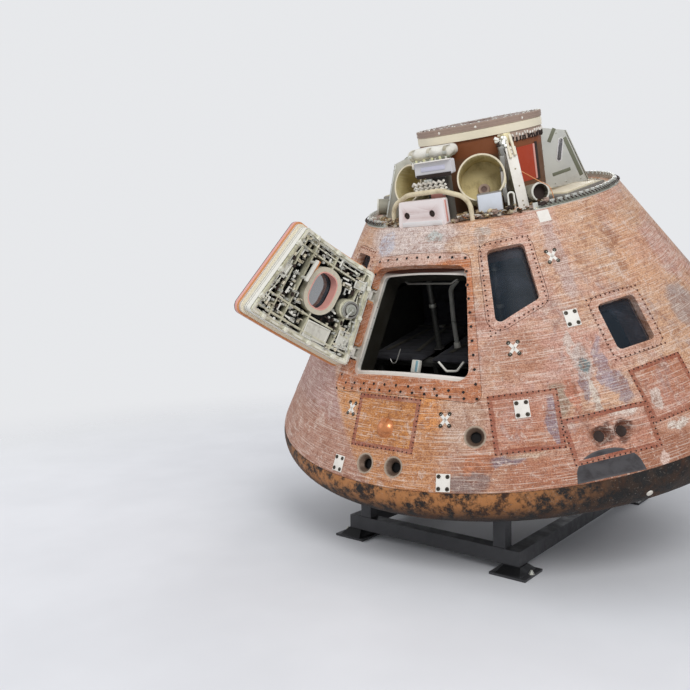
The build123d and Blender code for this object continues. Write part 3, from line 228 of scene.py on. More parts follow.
class Graph:
    """One material's node tree, with short calls for what the finishes share."""

    def __init__(self, name: str) -> None:
        """Start an empty material with that name."""
        self.material = bpy.data.materials.new(name)
        self.material.use_nodes = True
        self.tree = self.material.node_tree
        self.shader = self.tree.nodes["Principled BSDF"]

    def node(self, kind: str, given: dict[int | str, object] | None = None,
             **values: object) -> bpy.types.Node:
        """Add a node.

        Args:
            kind: Its type.
            given: What its inputs are given, by their number or name.
            values: Its properties.

        Returns:
            The node.
        """
        made = self.tree.nodes.new(kind)
        for name, value in values.items():
            setattr(made, name, value)
        for name, value in (given or {}).items():
            self.feed(made.inputs[name], value)
        return made

    def feed(self, socket: Socket, value: object) -> None:
        """Link a socket, or set its own value."""
        if isinstance(value, Socket):
            self.tree.links.new(value, socket)
        else:
            socket.default_value = value

    def place(self, scale: Sequence[float] = (1, 1, 1), turn: Sequence[float] = (0, 0, 0),
              swung: bool = False) -> Socket:
        """Coordinates of the upright capsule, scaled to stretch a pattern.

        Args:
            scale: Stretch along the three axes.
            turn: Turn of the pattern.
            swung: Whether the hatch's opening is undone too.

        Returns:
            The coordinates.
        """
        coord = self.node("ShaderNodeTexCoord").outputs["Object"]
        back = ((opened() if swung else Matrix.Identity(4)) @ CAPSULE.leaning).inverted()
        upright = self.node("ShaderNodeMapping", {
            "Vector": coord, "Rotation": back.to_euler(), "Location": back.translation})
        given = {"Vector": upright.outputs[0], "Scale": scale, "Rotation": turn}
        return self.node("ShaderNodeMapping", given).outputs[0]

    def split(self, vector: Socket) -> bpy.types.NodeOutputs:
        """The three parts of a vector."""
        return self.node("ShaderNodeSeparateXYZ", {0: vector}).outputs

    def sum(self, kind: str, first: object, second: object = 0.0) -> Socket:
        """One arithmetic step."""
        return self.node("ShaderNodeMath", {0: first, 1: second}, operation=kind).outputs[0]

    def grain(self, vector: object, scale: float, detail: float = 5.0, rough: float = 0.6,
              twist: float = 0.0) -> Socket:
        """Cloudy noise."""
        given = {"Vector": vector, "Scale": scale, "Detail": detail, "Roughness": rough, "Distortion": twist}
        return self.node("ShaderNodeTexNoise", given).outputs["Fac"]

    def cells(self, vector: object, scale: float) -> Socket:
        """Distance in a pattern of cells."""
        return self.node("ShaderNodeTexVoronoi", {"Vector": vector, "Scale": scale}).outputs["Distance"]

    def span(self, value: object, low: float, high: float, least: float = 0.0, most: float = 1.0) -> Socket:
        """Stretch a range to another one, smoothly and within its ends."""
        given = dict(enumerate((value, low, high, least, most)))
        return self.node("ShaderNodeMapRange", given, interpolation_type="SMOOTHSTEP").outputs[0]

    def blend(self, share: object, first: object, second: object, kind: str = "MIX") -> Socket:
        """Mix two colours."""
        given = {0: share, 6: linear(first), 7: linear(second)}
        return self.node("ShaderNodeMix", given, data_type="RGBA", blend_type=kind).outputs[2]

    def depth(self, vector: object) -> Socket:
        """Depth under the outer skin."""
        flat = self.node("ShaderNodeVectorMath", {0: vector, 1: (1, 1, 0)}, operation="MULTIPLY")
        slope = CAPSULE.half_angle
        skin = self.sum("ADD", CAPSULE.skin_r(0), self.sum("MULTIPLY", self.split(vector)[2], -tan(slope)))
        return self.sum("MULTIPLY", self.sum("SUBTRACT", skin, self.length(flat.outputs[0])), cos(slope))

    def length(self, vector: object) -> Socket:
        """Length of a vector."""
        return self.node("ShaderNodeVectorMath", {0: vector}, operation="LENGTH").outputs["Value"]

    def worn_edges(self) -> Socket:
        """Mask of the mesh's outer edges."""
        return self.span(self.node("ShaderNodeNewGeometry").outputs["Pointiness"], 0.52, 0.60)

    def raise_by(self, height: object, strength: float, distance: float) -> None:
        """Give the shader a bump, on top of any that it already has."""
        made = self.node("ShaderNodeBump", {"Strength": strength, "Distance": distance, "Height": height})
        held = self.shader.inputs["Normal"]
        if held.is_linked:
            self.feed(made.inputs["Normal"], held.links[0].from_socket)
        self.feed(held, made.outputs[0])

    def colour(self, value: object) -> None:
        """Set the shader's colour."""
        self.feed(self.shader.inputs["Base Color"], value)

    def sheen(self, rough: object, metal: float = 0.0, **sockets: float) -> bpy.types.Material:
        """Set how the surface shines and return the finished material."""
        self.feed(self.shader.inputs["Roughness"], rough)
        self.shader.inputs["Metallic"].default_value = metal
        for name, value in sockets.items():
            self.shader.inputs[name.replace("_", " ")].default_value = value
        return self.material


@dataclass(frozen=True)
class Stain:
    """A soft-edged stain on the cone, by its middle, its half sizes and its colour."""

    offset: float
    z: float
    half_turn: float
    half_z: float
    colour: Tone
    share: float = 0.8


CONE_STAINS = tuple(Stain(*row) for row in (
    (0, 0.66, 400, 0.26, (190, 136, 100), 0.5), (34, 0.8, 20, 0.2, (184, 130, 104), 0.6),
    (50, 0.66, 16, 0.11, (164, 108, 80), 0.8), (9, 1.06, 4.5, 0.11, (232, 158, 92), 0.8),
    (17, 1.03, 5.5, 0.17, (214, 182, 156), 0.75), (18.5, 0.69, 3.6, 0.06, (138, 122, 118), 0.85),
    (21, 0.79, 2.8, 0.06, (204, 132, 92), 0.8), (25.5, 0.79, 3.2, 0.03, (124, 114, 128), 0.85),
    (29, 0.81, 3.6, 0.013, (212, 190, 166), 0.85), (31, 0.71, 6, 0.07, (184, 118, 86), 0.6),
    (37.5, 1.07, 2.2, 0.09, (158, 144, 124), 0.85), (41, 1.09, 1.3, 0.11, (196, 124, 96), 0.8),
    (45.6, 1.07, 0.9, 0.11, (220, 214, 200), 0.9), (44.0, 1.12, 0.8, 0.08, (146, 144, 156), 0.8),
    (51, 1.06, 2.0, 0.09, (150, 140, 152), 0.8), (56.6, 0.88, 1.5, 0.04, (216, 208, 194), 0.9),
    (59.5, 0.8, 2.6, 0.022, (230, 224, 212), 0.9), (54, 0.66, 0.7, 0.035, (234, 210, 196), 0.8),
    (48, 1.86, 2.6, 0.3, (204, 182, 176), 0.7), (45.4, 1.24, 2.0, 0.1, (202, 194, 188), 0.85),
    (45.5, 1.23, 1.2, 0.042, (92, 128, 134), 0.9), (43.4, 1.35, 0.6, 0.07, (224, 214, 204), 0.8),
    (49.2, 1.2, 1.3, 0.13, (166, 156, 168), 0.8), (30, 1.33, 7, 0.13, (188, 136, 104), 0.6),
    (23.5, 2.03, 2.2, 0.05, (150, 138, 128), 0.6), (26, 2.06, 2.4, 0.022, (190, 190, 184), 0.6),
    (77, 1.72, 8, 0.26, (228, 176, 136), 0.6), (81, 1.34, 6, 0.13, (168, 160, 158), 0.7),
    (-6, 2.06, 22, 0.12, (228, 220, 216), 0.85), (-17, 2.03, 5, 0.07, (202, 208, 222), 0.85),
    (6, 2.055, 4, 0.028, (186, 202, 200), 0.75), (15, 2.00, 4, 0.05, (222, 190, 160), 0.7),
    (118, 1.3, 14, 0.4, (170, 150, 144), 0.6), (150, 0.95, 12, 0.2, (206, 140, 96), 0.6),
    (184, 1.6, 9, 0.34, (218, 202, 188), 0.6), (-110, 1.2, 12, 0.3, (216, 170, 136), 0.6),
    (-84, 1.75, 9, 0.2, (206, 198, 190), 0.6),
))


@dataclass(frozen=True)
class Scorched:
    """Resin skin after its flight: copper and tan, with rosy, lilac and cream stains."""

    name: str
    warm: Tone = (218, 174, 138)
    rosy: Tone = (214, 168, 150)
    pale: Tone = (232, 216, 202)
    cool: Tone = (168, 158, 160)
    deep: Tone = (142, 88, 60)
    stains: tuple[Stain, ...] = ()
    stain: float = 0.55

    def build(self) -> bpy.types.Material:
        """Lay the stains over each other and give the surface its fine grain."""
        g = Graph(self.name)
        round_ = g.place()
        flat = g.place((1.0, 1.0, 7.0))
        upright = g.place((3.2, 3.2, 0.55))
        cloud = g.grain(round_, 1.7, 6, 0.62, 0.4)
        tint = g.blend(g.span(cloud, 0.4, 0.6), self.warm, self.rosy)
        band = g.grain(flat, 2.6, 7, 0.7, 0.6)
        tint = g.blend(g.span(band, 0.5, 0.7, 0, self.stain), tint, self.pale)
        smear = g.grain(upright, 2.2, 8, 0.68, 0.8)
        tint = g.blend(g.span(smear, 0.52, 0.66, 0, self.stain * 0.9), tint, self.cool)
        if self.stains:
            tint = self.zoned(g, tint, round_)
        rust = g.grain(round_, 5.5, 9, 0.72, 0.5)
        tint = g.blend(g.span(rust, 0.52, 0.68, 0, 0.6), tint, self.deep)
        patch = g.grain(round_, 9.0, 8, 0.75, 1.2)
        tint = g.blend(g.span(patch, 0.55, 0.62, 0, 0.5), tint, self.pale)
        tint = g.blend(g.span(patch, 0.46, 0.38, 0, 0.45), tint, self.deep)
        mottle = g.grain(round_, 24, 7, 0.8, 0.6)
        tint = g.blend(g.span(mottle, 0.52, 0.62, 0, 0.5), tint, self.deep)
        fleck = g.grain(round_, 34, 6, 0.7)
        tint = g.blend(g.span(fleck, 0.56, 0.66, 0, 0.6), tint, self.pale)
        fine = g.grain(round_, 120, 5, 0.75)
        tint = g.blend(g.span(fine, 0.36, 0.60, 0.7, 0.0), tint, self.deep, "MULTIPLY")
        scratch = g.grain(g.place((1.0, 1.0, 42.0), (0, 0.12, 0)), 5.0, 4, 0.6)
        tint = g.blend(g.span(scratch, 0.52, 0.66, 0, 0.5), tint, self.pale)
        tint = g.blend(g.span(scratch, 0.47, 0.34, 0, 0.5), tint, self.deep)
        g.colour(tint)
        g.raise_by(g.sum("ADD", fleck, fine), 0.5, 0.0016)
        g.raise_by(rust, 0.35, 0.006)
        return g.sheen(g.span(cloud, 0.3, 0.7, 0.58, 0.86))

    def zoned(self, g: Graph, tint: object, vector: object) -> Socket:
        """Tint the cone where the air and the sun changed it most.

        Args:
            g: The node tree in hand.
            tint: The colour so far.
            vector: Coordinates of the upright capsule.

        Returns:
            The tinted colour.
        """
        parts = g.split(vector)
        turn = g.sum("MULTIPLY", g.sum("ARCTAN2", parts[0], g.sum("MULTIPLY", parts[1], -1.0)), 180 / pi)
        flank = g.sum("ADD", turn, g.sum("MULTIPLY", parts[2], 36.0))
        side = g.sum("MULTIPLY", g.span(flank, 20.6, 18.4), g.span(turn, -75, -55))
        tint = g.blend(g.sum("MULTIPLY", side, 0.85), tint, (188, 154, 148))
        gold = g.sum("MULTIPLY", g.span(flank, 18.4, 20.6), g.span(turn, 16, 9))
        gold = g.sum("MULTIPLY", gold, g.span(parts[2], 1.16, 1.12))
        tint = g.blend(g.sum("MULTIPLY", gold, 0.92), tint, (216, 150, 84))
        wide = g.grain(vector, 3.2, 6, 0.65)
        close = g.grain(vector, 13.0, 6, 0.7)
        stray = g.sum("ADD", g.sum("SUBTRACT", wide, 0.5),
                      g.sum("MULTIPLY", g.sum("SUBTRACT", close, 0.5), 0.5))
        turn = g.sum("ADD", turn, g.sum("MULTIPLY", stray, 7.0))
        height = g.sum("ADD", parts[2], g.sum("MULTIPLY", stray, 0.14))
        for stain in self.stains:
            across = g.sum("DIVIDE", g.sum("SUBTRACT", turn, stain.offset), stain.half_turn)
            up = g.sum("DIVIDE", g.sum("SUBTRACT", height, stain.z), stain.half_z)
            away = g.sum("ADD", g.sum("MULTIPLY", across, across), g.sum("MULTIPLY", up, up))
            tint = g.blend(g.span(away, 1.5, 0.6, 0, stain.share), tint, stain.colour)
        return tint


@dataclass(frozen=True)
class Charred:
    """Burnt resin of the blunt end: black crust with brown and copper where it flaked, the copper kept mostly
    to the front so that the rest stays dark as painted shade.
    """

    name: str
    crust: Tone = (24, 20, 18)
    brown: Tone = (96, 62, 42)
    copper: Tone = (176, 118, 70)

    def build(self) -> bpy.types.Material:
        """Lay brown and copper flakes on the crust, most of the copper at the front; the sparse copper
        elsewhere leaves painted shade.
        """
        g = Graph(self.name)
        where = g.place()
        cloud = g.grain(where, 4.0, 8, 0.7, 0.6)
        tint = g.blend(g.span(cloud, 0.46, 0.66, 0, 0.6), self.crust, self.brown)
        y, z = g.split(where)[1:]
        # Painted shade: copper flakes show fully only at the front; elsewhere a twentieth of them, leaving
        # the rest of the rim near black.
        front = g.sum("MULTIPLY", g.span(y, -1.35, -1.85), g.span(z, 0.42, 0.58))
        flake = g.grain(where, 11, 9, 0.75)
        share = g.sum("MULTIPLY", g.span(flake, 0.42, 0.58),
                      g.sum("ADD", g.sum("MULTIPLY", front, 0.9), 0.05))
        tint = g.blend(share, tint, self.copper)
        speck = g.grain(where, 75, 4, 0.7)
        tint = g.blend(g.span(speck, 0.6, 0.7, 0, 0.45), tint, (150, 140, 128))
        g.colour(tint)
        g.raise_by(flake, 0.8, 0.01)
        g.raise_by(speck, 0.7, 0.004)
        return g.sheen(g.span(cloud, 0.3, 0.7, 0.62, 0.92))


@dataclass(frozen=True)
class Worn:
    """Painted or bare metal with patchy dirt and bright rubbed edges; where wanted, painted shade that
    darkens it by depth under the skin, and a band of another colour above a height.
    """

    name: str
    base: Tone
    dirt: Tone
    bright: Tone
    metal: float = 0.0
    rough: float = 0.5
    scale: float = 9.0
    dirt_share: float = 0.55
    # The dark tone and the two depths below lay painted shade: the surface darkens between those depths under
    # the skin.
    dark: Tone | None = None
    shade_from_depth: float = 0.0
    shade_to_depth: float = 0.0
    swung: bool = False
    crown: Tone | None = None
    crown_z: float = 1.815

    def build(self) -> bpy.types.Material:
        """Mix dirt, rubbed edges and fine grain, and paint shade between two depths under the skin if wanted.
        """
        g = Graph(self.name)
        where = g.place(swung=self.swung)
        cloud = g.grain(where, self.scale, 7, 0.68, 0.3)
        tint = g.blend(g.span(cloud, 0.44, 0.68, 0, self.dirt_share), self.base, self.dirt)
        fine = g.grain(where, self.scale * 12, 5, 0.7)
        tint = g.blend(g.span(fine, 0.56, 0.74, 0, 0.4), tint, self.bright)
        tint = g.blend(g.worn_edges(), tint, self.bright)
        # Painted shade: between the two depths under the skin the colour goes to the dark tone.
        if self.dark:
            tint = g.blend(g.span(g.depth(where), self.shade_from_depth, self.shade_to_depth), tint, self.dark)
        if self.crown:
            high = g.span(g.split(where)[2], self.crown_z - 0.015, self.crown_z + 0.015)
            tint = g.blend(high, tint, self.crown)
        g.colour(tint)
        g.raise_by(fine, 0.25, 0.001)
        return g.sheen(g.span(cloud, 0.3, 0.7, self.rough - 0.1, self.rough + 0.2), self.metal)


@dataclass(frozen=True)
class Foil:
    """Crumpled metal foil, browned by heat."""

    name: str
    base: Tone = (150, 122, 86)
    dark: Tone = (70, 50, 34)
    bright: Tone = (222, 208, 176)
    metal: float = 0.55

    def build(self) -> bpy.types.Material:
        """Fold it with two sizes of cells."""
        g = Graph(self.name)
        where = g.place()
        wave = g.node("ShaderNodeTexNoise", {"Scale": 6.0, "Vector": where})
        bent = g.node("ShaderNodeMix", {0: 0.12, 4: where, 5: wave.outputs["Color"]}, data_type="VECTOR")
        fold = g.cells(bent.outputs[1], 22)
        crease = g.cells(bent.outputs[1], 58)
        cloud = g.grain(where, 7, 6, 0.7)
        tint = g.blend(g.span(cloud, 0.4, 0.64), self.dark, self.base)
        tint = g.blend(g.span(fold, 0.42, 0.75, 0, 0.7), tint, self.bright)
        g.colour(tint)
        g.raise_by(fold, 0.9, 0.012)
        g.raise_by(crease, 0.6, 0.004)
        return g.sheen(g.span(cloud, 0.3, 0.7, 0.28, 0.6), self.metal)


@dataclass(frozen=True)
class Cloth:
    """Woven fabric with a stained, faded face."""

    name: str
    thread: Tone
    shade: Tone
    stained: float = 0.8

    def build(self) -> bpy.types.Material:
        """Cross two sets of slubs and stain them."""
        g = Graph(self.name)
        where = g.place()
        threads = g.sum("MULTIPLY", g.grain(g.place((9, 1, 1)), 60, 3), g.grain(g.place((1, 1, 9)), 60, 3))
        cloud = g.grain(where, 8, 7, 0.7, 0.4)
        tint = g.blend(g.span(cloud, 0.42, 0.68, 0, self.stained), self.thread, self.shade)
        tint = g.blend(g.span(threads, 0.15, 0.35, 0.25, 0.0), tint, self.shade, "MULTIPLY")
        g.colour(tint)
        g.raise_by(threads, 0.3, 0.001)
        g.raise_by(cloud, 0.3, 0.006)
        return g.sheen(0.88, 0.0, Sheen_Weight=0.15)


@dataclass(frozen=True)
class Pane:
    """Coated window glass under a thin film of dust."""

    name: str
    tint: Tone = (50, 58, 66)
    cover: float = 0.45

    def build(self) -> bpy.types.Material:
        """Let the film change the gloss."""
        g = Graph(self.name)
        where = g.place()
        film = g.grain(where, 6, 6, 0.65, 0.5)
        g.colour(g.blend(g.span(film, 0.45, 0.75, 0, 0.5), self.tint, (92, 98, 110)))
        return g.sheen(g.span(film, 0.35, 0.7, 0.16, 0.24), 0.0, Alpha=self.cover, Specular_IOR_Level=0.06)


class Finish(Enum):
    """Every finish on the capsule and its stand."""

    # Blunt end: crust near black, partly burnt resin and partly painted shade.
    CHARRED = Charred("charred_crust", crust=(16, 13, 12), brown=(84, 54, 36))
    CONE = Scorched("scorched_cone", stains=CONE_STAINS)
    PANEL = Scorched("scorched_panel", warm=(190, 126, 92), rosy=(200, 144, 122), stain=0.45, stains=(
        Stain(-3, 0.96, 14, 0.4, (206, 140, 78), 0.9), Stain(35.5, 0.95, 1.6, 0.14, (128, 126, 146), 0.7),
        Stain(49, 0.93, 3, 0.03, (232, 222, 210), 0.9), Stain(57, 0.94, 1.6, 0.05, (222, 214, 204), 0.8),
        Stain(46, 0.85, 4.6, 0.085, (208, 160, 138), 0.6), Stain(44.2, 0.845, 1.9, 0.05, (92, 54, 40), 0.9),
        Stain(47.8, 0.845, 1.9, 0.05, (92, 54, 40), 0.9)))
    SURROUND = Scorched("scorched_surround", warm=(206, 130, 80), rosy=(208, 148, 118), stain=0.30, stains=(
        Stain(0, 1.17, 24, 0.06, (198, 122, 72), 0.7), Stain(0, 1.95, 24, 0.06, (226, 198, 184), 0.8)))
    BAND = Scorched("bolted_band", warm=(160, 88, 62), rosy=(172, 110, 88), pale=(196, 158, 136), stain=0.2)
    WINDOW = Scorched("scorched_window", warm=(212, 166, 138), rosy=(218, 174, 156), stain=0.5)
    # Reveal of the opening: from 0.108 to 0.118 under the skin it darkens to near black, painted shade inside
    # the opening; above z 1.815 it is dark brown.
    REVEAL = Worn("white_reveal", (214, 212, 202), (140, 132, 112), (232, 230, 222),
                  dark=(38, 36, 30), shade_from_depth=0.108, shade_to_depth=0.118, crown=(66, 33, 20))
    # Nozzles: stained metal whose bore darkens to near black from 0.02 to 0.05 under the skin, painted shade
    # inside it.
    NOZZLE = Worn("stained_nozzle_and_painted_shade", (112, 92, 78), (60, 44, 36), (168, 150, 132), 0.4, 0.45,
                  dark=(14, 10, 9), shade_from_depth=0.02, shade_to_depth=0.05)
    WHITE = Worn("chalky_white", (218, 212, 200), (150, 128, 104), (236, 232, 224), 0.0, 0.6)
    SILL = Worn("worn_white_sill", (208, 206, 194), (120, 112, 94), (230, 228, 218))
    CABIN = Worn("cabin_grey", (40, 42, 42), (22, 22, 22), (84, 84, 80), 0.0, 0.6)
    ALLOY = Worn("cabin_alloy", (104, 104, 100), (50, 48, 44), (150, 148, 142), 0.6, 0.42)
    DECK = Foil("brown_foil")
    METAL = Worn("dull_metal", (176, 178, 166), (96, 92, 74), (214, 214, 206), 0.6, 0.42)
    # Tunnel wall: dark brown below z 2.5 as painted shade in the bay, with its copper showing only above.
    TUNNEL = Worn("copper_tunnel", (64, 40, 26), (30, 18, 12), (110, 76, 52), 0.1, 0.6,
                  crown=(128, 74, 42), crown_z=2.5)
    COLLAR = Worn("cream_collar", (214, 200, 168), (132, 112, 80), (232, 222, 198), 0.0, 0.55)
    COVER = Worn("layered_cover", (112, 90, 84), (56, 42, 38), (168, 146, 132), 0.0, 0.7, 16.0, 0.8)
    OLIVE = Worn("olive_cup", (190, 174, 124), (120, 104, 64), (214, 204, 164), 0.15, 0.45)
    BAY = Worn("bay_grey", (206, 204, 208), (124, 116, 108), (232, 230, 228))
    BOXES = Worn("bay_boxes_paint", (66, 62, 58), (34, 30, 28), (140, 136, 130), 0.0, 0.6,
                 crown=(206, 204, 206), crown_z=2.44)
    BOX = Worn("thruster_box_paint", (204, 182, 178), (170, 128, 116), (238, 228, 226), 0.0, 0.55)
    # Pilot tubes: dark olive, their colour darkened as painted shade on the tube bodies.
    TUBE = Worn("dark_tube", (84, 80, 66), (34, 32, 26), (160, 156, 140), 0.2, 0.5)
    DOME = Worn("copper_dome", (206, 132, 84), (92, 50, 30), (240, 204, 170), 0.4, 0.32)
    HATCH_RING = Worn("olive_ring", (132, 120, 94), (66, 54, 38), (214, 206, 184), 0.3, 0.42, 14.0, 0.7)
    STRIP = Worn("yellow_green_strip", (190, 188, 120), (118, 112, 60), (222, 220, 176))
    # Hatch parts: nearer the outer skin than 0.14 they darken, near black by 0.085, painted shade deep in the
    # hatch's pockets; depths are taken as if the hatch were shut.
    CREAM = Worn("hatch_cream", (206, 202, 176), (104, 98, 74), (232, 230, 214), 0.2, 0.45, 14.0, 0.7,
                 dark=(20, 18, 14), shade_from_depth=0.14, shade_to_depth=0.085, swung=True)
    # Stand: near black, a dark steel colour deepened as painted shade under the capsule.
    STAND = Worn("black_stand", (26, 26, 28), (14, 14, 14), (66, 66, 68), 0.3, 0.45)
    RUBBER = Worn("black_rubber", (26, 26, 26), (44, 42, 40), (56, 54, 52), 0.0, 0.85)
    HOSE = Worn("grey_hose", (170, 170, 162), (104, 102, 94), (200, 200, 194), 0.0, 0.6)
    CONSOLE = Worn("console_grey", (96, 102, 104), (52, 54, 54), (136, 140, 140), 0.0, 0.55)
    BAG = Cloth("white_bag_cloth", (236, 234, 226), (196, 186, 166), stained=0.4)
    COUCH = Cloth("couch_cloth", (70, 70, 76), (46, 44, 46))
    BELT = Cloth("dull_belt", (96, 92, 80), (58, 54, 44))
    GLASS = Pane("coated_glass")
    HOLE = Worn("dark_hole", (26, 18, 15), (12, 9, 8), (48, 34, 28), 0.0, 0.7)
    RING = Worn("washer_ring", (74, 68, 56), (40, 34, 26), (140, 130, 108), 0.5, 0.45)
    PATCH = Worn("dark_grey_patch", (66, 64, 66), (50, 46, 46), (86, 82, 82), 0.0, 0.75, 12.0)
    RED = Worn("red_panel", (146, 34, 8), (92, 22, 8), (168, 60, 30))
    ROSE = Worn("rose_seal", (190, 108, 102), (132, 64, 58), (222, 160, 148), 0.0, 0.55)
    ORANGE = Worn("orange_resin", (186, 104, 50), (112, 54, 26), (216, 148, 98), 0.0, 0.55)
    GREENISH = Worn("grey_green_strip", (80, 82, 68), (40, 40, 32), (132, 134, 114), 0.1, 0.6)
    KHAKI = Worn("khaki_shelf", (168, 154, 122), (110, 96, 68), (204, 194, 166), 0.0, 0.6)
    LILAC = Worn("lilac_lid", (176, 174, 196), (120, 116, 128), (206, 206, 220), 0.0, 0.55)
    BLUE = Worn("pale_blue_box", (184, 190, 200), (140, 140, 146), (214, 218, 224), 0.0, 0.55)
    TEAL = Worn("teal_face", (86, 138, 156), (48, 78, 88), (140, 180, 190))
    WEBBING = Cloth("harness_webbing", (206, 200, 182), (150, 140, 116))
    CLOTH_WHITE = Cloth("white_folds", (226, 222, 212), (166, 156, 140))

    @property
    def material(self) -> bpy.types.Material:
        """The built material, made once."""
        return bpy.data.materials.get(self.value.name) or self.value.build()


@dataclass(frozen=True)
class Dress:
    """Gives each CAD node that stays in sight its finish."""

    finishes: tuple[tuple[Finish, tuple[str, ...]], ...] = (
        (Finish.CHARRED, ("aft_heat_shield",)),
        (Finish.CONE, ("crew_heat_shield",)),
        (Finish.PANEL, ("access_panels", "roll_thruster_panels")),
        (Finish.NOZZLE, ("round_nozzles",)),
        (Finish.DOME, ("vent_dome",)),
        (Finish.HATCH_RING, ("hatch_window_ring",)),
        (Finish.SURROUND, ("hatch_surround", "hatch_skin")),
        (Finish.REVEAL, ("hatch_frame",)),
        (Finish.SILL, ("hatch_hinge_arms", "hatch_handle")),
        (Finish.WINDOW, ("rendezvous_window_frames", "side_window_frames")),
        (Finish.GLASS, ("window_panes", "hatch_window_pane")),
        (Finish.CABIN, ("cabin_wall", "cabin_floor", "equipment_bays")),
        (Finish.DECK, ("forward_deck",)),
        (Finish.METAL, ("deck_edge_ring", "gussets", "hatch_gearbox")),
        (Finish.COLLAR, ("recovery_bail",)),
        (Finish.TUNNEL, ("tunnel_wall",)),
        (Finish.COLLAR, ("tunnel_collar",)),
        (Finish.COVER, ("tunnel_cover",)),
        (Finish.OLIVE, ("drogue_mortars",)),
        (Finish.TUBE, ("pilot_mortars",)),
        (Finish.BOX, ("pitch_thruster_box",)),
        (Finish.BOXES, ("bay_boxes",)),
        (Finish.BAG, ("flotation_bag",)),
        (Finish.COUCH, ("couches",)),
        (Finish.ALLOY, ("couch_frame", "overhead_struts")),
        (Finish.CONSOLE, ("display_console",)),
        (Finish.HOSE, ("suit_hoses",)),
        (Finish.CREAM, ("hatch_structure", "latch_gear")),
        (Finish.STAND, ("stand_feet", "stand_cross_beams", "stand_side_rails", "stand_posts")),
        (Finish.RUBBER, ("stand_pads",)),
    )

    def build(self) -> None:
        """Put each finish into the material slots of its nodes."""
        for finish, names in self.finishes:
            for name in names:
                node = frame["nodes"][name]
                node.data.materials.clear()
                node.data.materials.append(finish.material)
        log.info("dressed %d nodes", sum(len(names) for _, names in self.finishes))


class Maker:
    """Collects shapes in one mesh and turns them into a finished piece."""

    def __init__(self, name: str) -> None:
        """Start an empty piece with that name."""
        self.name = name
        self.mesh = bmesh.new()
        self.finishes: list[Finish] = []

    def add(self, shape: Shape, finish: Finish, places: Iterable[Matrix] = (Matrix.Identity(4),)) -> None:
        """Put copies of a shape into the piece, and use the shape up.

        Args:
            shape: The shape, about its own origin.
            finish: The finish of faces that have index 0; others keep a finish from paint().
            places: One placement for each copy; by itself the shape stays where it is.
        """
        index = self.index(finish)
        for face in shape.faces:
            face.material_index = face.material_index - 1 if face.material_index else index
            face.smooth = True
        template = as_mesh("template", shape)
        for place in places:
            copy = template.copy()
            copy.transform(place)
            self.mesh.from_mesh(copy)
            bpy.data.meshes.remove(copy)
        bpy.data.meshes.remove(template)

    def index(self, finish: Finish) -> int:
        """Number of a finish among this piece's material slots."""
        if finish not in self.finishes:
            self.finishes.append(finish)
        return self.finishes.index(finish)

    def paint(self, faces: Iterable[bmesh.types.BMFace], finish: Finish) -> None:
        """Mark some faces of a shape for another finish."""
        index = self.index(finish)
        for face in faces:
            face.material_index = index + 1

    def finish(self, slot: str, *replaced: str, body: str = CAPSULE_BODY,
               crease: float = 35.0) -> bpy.types.Object:
        """Turn what was collected into an object that rides on a body.

        Args:
            slot: The record's material slot; not used.
            replaced: CAD nodes that the piece stands for.
            body: Name of the body.
            crease: Angle in degrees above which an edge stays sharp.

        Returns:
            The finished object.
        """
        data = as_mesh(self.name, self.mesh)
        data.set_sharp_from_angle(angle=radians(crease))
        for finish in self.finishes:
            data.materials.append(finish.material)
        piece = placed(self.name, data)
        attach(piece, body)
        if replaced:
            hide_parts(*replaced)
        log.info("%s: %d faces", self.name, len(data.polygons))
        return piece


def placed(name: str, data: bpy.types.ID) -> bpy.types.Object:
    """Make an object of some data and link it to the scene."""
    made = bpy.data.objects.new(name, data)
    bpy.context.scene.collection.objects.link(made)
    return made


def as_mesh(name: str, shape: Shape) -> bpy.types.Mesh:
    """Turn a shape into a mesh, and use the shape up."""
    data = bpy.data.meshes.new(name)
    shape.to_mesh(data)
    shape.free()
    return data


def directed(path: Sequence[Vector]) -> list[tuple[Vector, Vector]]:
    """Each point of a line with the line's direction there."""
    ends = [path[0], *path, path[-1]]
    return [(point, (after - before).normalized()) for before, point, after in zip(ends, path, ends[2:])]


def squared(value: float, power: float) -> float:
    """A power that keeps the sign, for outlines between a circle and a box."""
    return copysign(abs(value) ** power, value)


def outwards(shape: Shape) -> Shape:
    """Turn every face of a shape outwards."""
    bmesh.ops.recalc_face_normals(shape, faces=shape.faces[:])
    return shape


def bevelled(shape: Shape, edges: Iterable[bmesh.types.BMEdge], wide: float, steps: int) -> Shape:
    """Round edges of a shape over a width, in a number of steps, where the width isn't zero."""
    if wide:
        bmesh.ops.bevel(shape, geom=list(edges), offset=wide, offset_type="OFFSET", segments=steps,
                        profile=0.5, affect="EDGES", material=-1)
    return shape


def topmost(shape: Shape) -> bmesh.types.BMFace:
    """The face of a shape that lies highest."""
    return max(shape.faces, key=lambda face: face.calc_center_median().z)


def sunk(shape: Shape, edge: float, slope: float, depth: float) -> Shape:
    """Sink the top of a shape, leaving an edge and then a slope of these widths."""
    top = topmost(shape)
    bmesh.ops.inset_region(shape, faces=[top], thickness=edge, depth=0.0)
    bmesh.ops.inset_region(shape, faces=[top], thickness=slope, depth=-depth)
    return shape


def laid(shape: Shape, offset: float, z: float, low: float, high: float) -> Shape:
    """Thicken a flat shape and lay it on the skin.

    Args:
        shape: The flat shape, about the plane's own point.
        offset: Offset of that point in degrees.
        z: Its height in the upright capsule.
        low: Where the shape's foot is, outwards from the skin.
        high: Where its face is.

    Returns:
        The same shape, on the skin.
    """
    raised = bmesh.ops.extrude_face_region(shape, geom=shape.faces[:])
    upper = {item for item in raised["geom"] if isinstance(item, bmesh.types.BMVert)}
    for vert in shape.verts:
        lift = high if vert in upper else low
        vert.co = CAPSULE.on_skin(offset, z, vert.co.x, vert.co.y, lift).translation
    return outwards(shape)


